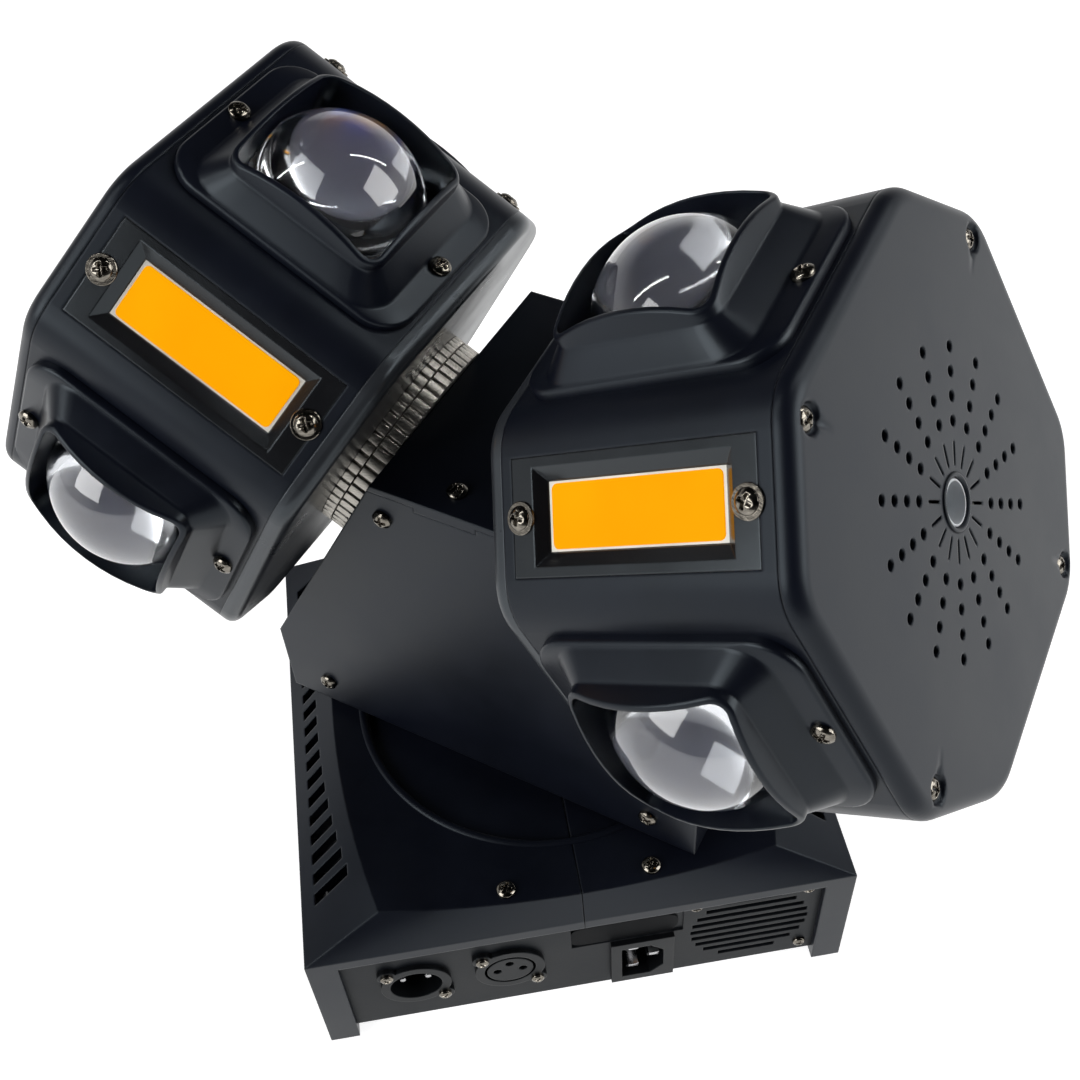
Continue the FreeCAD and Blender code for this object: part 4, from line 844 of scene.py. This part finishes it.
for side in ("right", "left"):
    head, body = headFrame(side), "head_" + side
    lensPlaces = [head @ faceFrame(angle) for angle in lensAngles]
    strobePlaces = [head @ faceFrame(angle) for angle in strobeAngles]
    d = chipShape["step"]
    blueDies, amberDies = (
        [matrix @ shift(x, y, 0) for matrix in lensPlaces for x, y in corners]
        for corners in (((-d, -d), (d, d)), ((-d, d), (d, -d))))
    washered = facePairs(head, strobeAngles, **headScrews["strobe"])
    screws = capScrews(head, **headScrews["cap"])
    screws += facePairs(head, lensAngles, **headScrews["hood"]) + washered
    screwSet = joinParts([stamp(screwPart, screws), stamp(washerPart, washered)])
    ringPlace = headFrame(side, False)
    # name, part, body, slot, finish and the CAD node that it stands for
    for name, part, rider, slotName, finish, node in (
            ("hoodShells", stamp(hoodPart, lensPlaces), body, "black_shell", "hood", "lens_hoods"),
            ("lensDomes", stamp(lensPart, lensPlaces), body, "lens_glass", "glass", "lenses"),
            ("reflectorCups", stamp(cupPart, lensPlaces), body, "fin_aluminium", "cup", None),
            # the chips glow with painted light, standing in for blue and amber glints
            ("chipBlues", stamp(chipPart, blueDies), body, "lens_glass", "chipBlue", None),
            ("chipAmbers", stamp(chipPart, amberDies), body, "lens_glass", "chipAmber", None),
            ("ventedCap", stamp(capPart, [head]), body, "black_shell", "moulding", "outer_cap"),
            ("axleTube", stamp(tubePart, [head]), body, "fin_aluminium", "tube", None),
            # the amber panels glow with painted light, standing in for the light falling on them
            ("strobePaintedGlow", stamp(glowPart, strobePlaces), body, "amber_panel", "amber", None),
            ("crossScrews", screwSet, body, "screw_steel", "screws", "head_screws"),
            ("finCollar", stamp(collarPart, [head]), body, "fin_aluminium", "fins", "fin_collar"),
            ("finRing", stamp(fixedPart, [ringPlace]), "arm", "fin_aluminium", "fins", "tilt_bearing")):
        makePiece(name + "_" + side, part, rider, finish, (node + "_" + side,) if node else ())
print("stage 3: heads dressed")

# screws of the arm and the base
armScrewPlaces = {
    "pairs": ((-26, 206), (26, 206), (-67, 96), (67, 96)), "frontY": -44.6, "rearY": 61.5,
    "lid": ((-3, -35.1, 219), (-3, 52, 219)), "turn": 0.7,
}
baseScrewPlaces = {
    "coverX": 26, "coverY": 85.5, "coverZ": 78.5, "coverTurn": 0.4, "smallScale": 0.727,
    "sockets": (-63.5, -28.5), "socketY": -94.3, "socketZ": 35.0, "socketReach": 9.8,
    "inlet": (62.5, -92.5, 35.5), "inletReach": 21, "inletCorners": ((-1, 1), (1, 1), (1, -1)),
}
front, rear, upward = (0, -1, 0), (0, 1, 0), (0, 0, 1)


def armScrewFrames(s):
    rows = [(x, s["frontY"], z, front) for x, z in s["pairs"]]
    rows += [(x, s["rearY"], z, rear) for x, z in s["pairs"]]
    rows += [(*spot, upward) for spot in s["lid"]]
    return [armFrame @ standing(*row, s["turn"] * n) for n, row in enumerate(rows)]


def baseScrewFrames(s):
    frames = [
        standing(x, y, s["coverZ"], upward, s["coverTurn"] + x)
        for x in (-s["coverX"], s["coverX"]) for y in (-s["coverY"], s["coverY"])]
    small = np.diag([s["smallScale"]] * 3 + [1.0])
    for socket in s["sockets"]:
        for end in (-1, 1):
            x, z = socket + end * s["socketReach"], s["socketZ"] - end * s["socketReach"]
            frames.append(standing(x, s["socketY"], z, front, end) @ small)
    inletX, inletY, inletZ = s["inlet"]
    for x, z in s["inletCorners"]:
        spot = (inletX + x * s["inletReach"], inletY, inletZ + z * s["inletReach"])
        frames.append(standing(*spot, front, x + z) @ small)
    return frames


armScrewPart = stamp(screwPart, armScrewFrames(armScrewPlaces))
makePiece("armScrews", armScrewPart, "arm", "screws", ("arm_screws",))
baseScrewPart = stamp(screwPart, baseScrewFrames(baseScrewPlaces))
makePiece("baseScrews", baseScrewPart, "base", "screws", ("base_screws",))
print("stage 4: screws")

# the dark inlay in the recess above the power inlet: a slab laid on the panel
inlayShape = {
    "size": (20.4, 6.4, 5.0), "place": (14.75, -91.95, 47.0), "samples": (6, 5),
    "steps": ((1.0, 0.0), (1.0, 0.2), (0.985, 0.35), (0.9, 0.35), (0.4, 0.35), (0.0, 0.35)),
}
inlayPart = slabSurface(*inlayShape["size"], inlayShape["steps"], inlayShape["samples"])
makePiece("stripInlay", stamp(inlayPart, [onPanel(*inlayShape["place"])]), "base", "inlay")

# a lip round the dish of the base
lipShape = {
    "radius": 70.4, "half": 1.5, "rise": 0.8, "foot": 77.9, "level": 78.5, "samples": 160, "roundSamples": 9,
}


def lipSurface(s):
    # a half round carried round the pan axis, closed underneath
    turn = np.linspace(0, np.pi, s["roundSamples"])
    radii = s["radius"] + s["half"] * np.concatenate([[1], np.cos(turn), [-1]])
    heights = np.concatenate([[s["foot"]], s["level"] + s["rise"] * np.sin(turn), [s["foot"]]])
    return turned(zip(radii, heights), roundTurn(s["samples"]), wrapRows=True)


makePiece("dishLip", lipSurface(lipShape), "base", "moulding")

# bright blades in the power inlet and pins in the signal inlet
pinShape = {
    "bladeHalf": (2.1, 1.1), "bladeCorner": 0.3, "bladeFoot": -13.9, "bladeTop": 0.1,
    "bladePlaces": ((-4.0, -7.0), (4.0, 0.0), (-4.0, 7.0)), "inletX": 22.25, "inletZ": 24.5,
    "pinRadius": 1.3, "pinFoot": -12.1, "pinTop": -1.1, "pinCircle": 4.75, "pinTurns": (180, 90, 0),
    "socketX": -63.5, "socketZ": 35.0, "panelFace": -92.5, "crown": 0.8, "samples": 4,
}


def socketPins(s):
    face, end = s["panelFace"], (s["crown"], s["samples"])
    blade = stubSurface(*s["bladeHalf"], s["bladeCorner"], s["bladeFoot"], s["bladeTop"], *end)
    blades = [onPanel(s["inletX"] + x, face, s["inletZ"] + z) for x, z in s["bladePlaces"]]
    radius = s["pinRadius"]
    pin = stubSurface(radius, radius, radius - meshSettings["slit"], s["pinFoot"], s["pinTop"], *end)
    offsets = s["pinCircle"] * circlePoints(np.radians(s["pinTurns"]))
    pins = [onPanel(s["socketX"] + x, face, s["socketZ"] + z) for x, z in offsets]
    return joinParts([stamp(blade, blades), stamp(pin, pins)])


makePiece("socketPins", socketPins(pinShape), "base", "steel")

# studio
studioSettings = {
    "floorHalf": 4.5, "floorColour": (0.62, 0.62, 0.62), "floorCloud": (3.0, 2.0, 0.5), "floorShade": 0.995,
    "floorRoughness": 0.95, "floorGlow": 0.8,
    # the wall is a cylinder that closes into a dome: radius and height of each row
    "wallProfile": ((4.2, 0.0), (4.2, 2.6), (3.78, 3.6), (2.52, 4.4), (0.042, 4.7)), "wallSamples": 48,
    "wallFade": (0.6, 2.6), "wallGlow": (0.75, 0.012), "frontFade": (-3.4, -1.2), "frontGlow": (0.08, 1.0),
}
lamps = {
    # place, target, width and height, power in watts
    "leftBox": ((-1.9, -0.9, 1.2), (0, 0, 0.15), (1.4, 1.4), 32),
    "rightBox": ((1.9, -0.5, 1.1), (0, 0, 0.15), (1.4, 1.4), 28),
    "leftStrip": ((-0.85, 0.1, 1.15), (0, 0, 0.25), (0.035, 0.9), 2.2),
    "rightStrip": ((0.85, 0.25, 1.2), (0, 0, 0.25), (0.035, 0.9), 2.2),
}


def stageSheet(name, part, material):
    mesh = bpy.data.meshes.new(name)
    mesh.from_pydata(part[0].tolist(), [], part[1].tolist())
    mesh.materials.append(material)
    sheet = bpy.data.objects.new(name, mesh)
    bpy.context.collection.objects.link(sheet)


def paperFloor(s):
    # matt white paper that takes a shadow, and that looks lit from within
    material, tree, shader, coordinates = startMaterial("studioFloor")
    shaded = tuple(c * s["floorShade"] for c in s["floorColour"])
    paper = mixColour(tree, noiseNode(tree, coordinates, *s["floorCloud"]), s["floorColour"], shaded)
    # only the camera, reflections and glass see the glow, so that it puts no light on the object
    path = addNode(tree, "LightPath", {}).outputs
    seen = mathNode(tree, "ADD", path["Is Camera Ray"], path["Is Glossy Ray"])
    seen = mathNode(tree, "MINIMUM", mathNode(tree, "ADD", seen, path["Is Transmission Ray"]), 1.0)
    feed(tree, shader, {
        "Base Color": paper, "Roughness": s["floorRoughness"], "Specular IOR Level": 0.0,
        "Emission Color": 1.0, "Emission Strength": mathNode(tree, "MULTIPLY", seen, s["floorGlow"])})
    return material


def paperWall(s):
    # a wall of paper round the table, bright at its foot, dark at its head and in front
    material, tree, shader, coordinates = startMaterial("studioWall")
    split = addNode(tree, "SeparateXYZ", {0: coordinates}).outputs
    level = rangeNode(tree, split["Z"], s["wallFade"], s["wallGlow"])
    level = mathNode(tree, "MULTIPLY", level, rangeNode(tree, split["Y"], s["frontFade"], s["frontGlow"]))
    # the camera sees plain white there
    level = mathNode(tree, "MAXIMUM", level, addNode(tree, "LightPath", {}).outputs["Is Camera Ray"])
    feed(tree, shader, {
        "Base Color": 0.0, "Specular IOR Level": 0.0, "Emission Color": 1.0, "Emission Strength": level})
    return material


def makeStudio(s):
    corners = s["floorHalf"] * np.array([(-1, -1, 0), (1, -1, 0), (1, 1, 0), (-1, 1, 0)])
    stageSheet("studioFloor", (corners, np.array([[0, 1, 2, 3]])), paperFloor(s))
    stageSheet("studioWall", turned(s["wallProfile"], roundTurn(s["wallSamples"])), paperWall(s))
    world = bpy.data.worlds.new("studioSky")
    bpy.context.scene.world = world
    world.use_nodes = True
    feed(world.node_tree, world.node_tree.nodes["Background"], {"Color": 0.0})


def softLamp(name, spot, target, size, power):
    data = bpy.data.lights.new(name, "AREA")
    data.energy, data.shape = power, "RECTANGLE"
    data.size, data.size_y = size
    lamp = bpy.data.objects.new(name, data)
    bpy.context.collection.objects.link(lamp)
    lamp.location = spot
    lamp.rotation_mode = "QUATERNION"
    lamp.rotation_quaternion = (Vector(target) - Vector(spot)).to_track_quat("-Z", "Y")


makeStudio(studioSettings)
for lampName, row in lamps.items():
    softLamp(lampName, *row)
print("stage 5: studio")
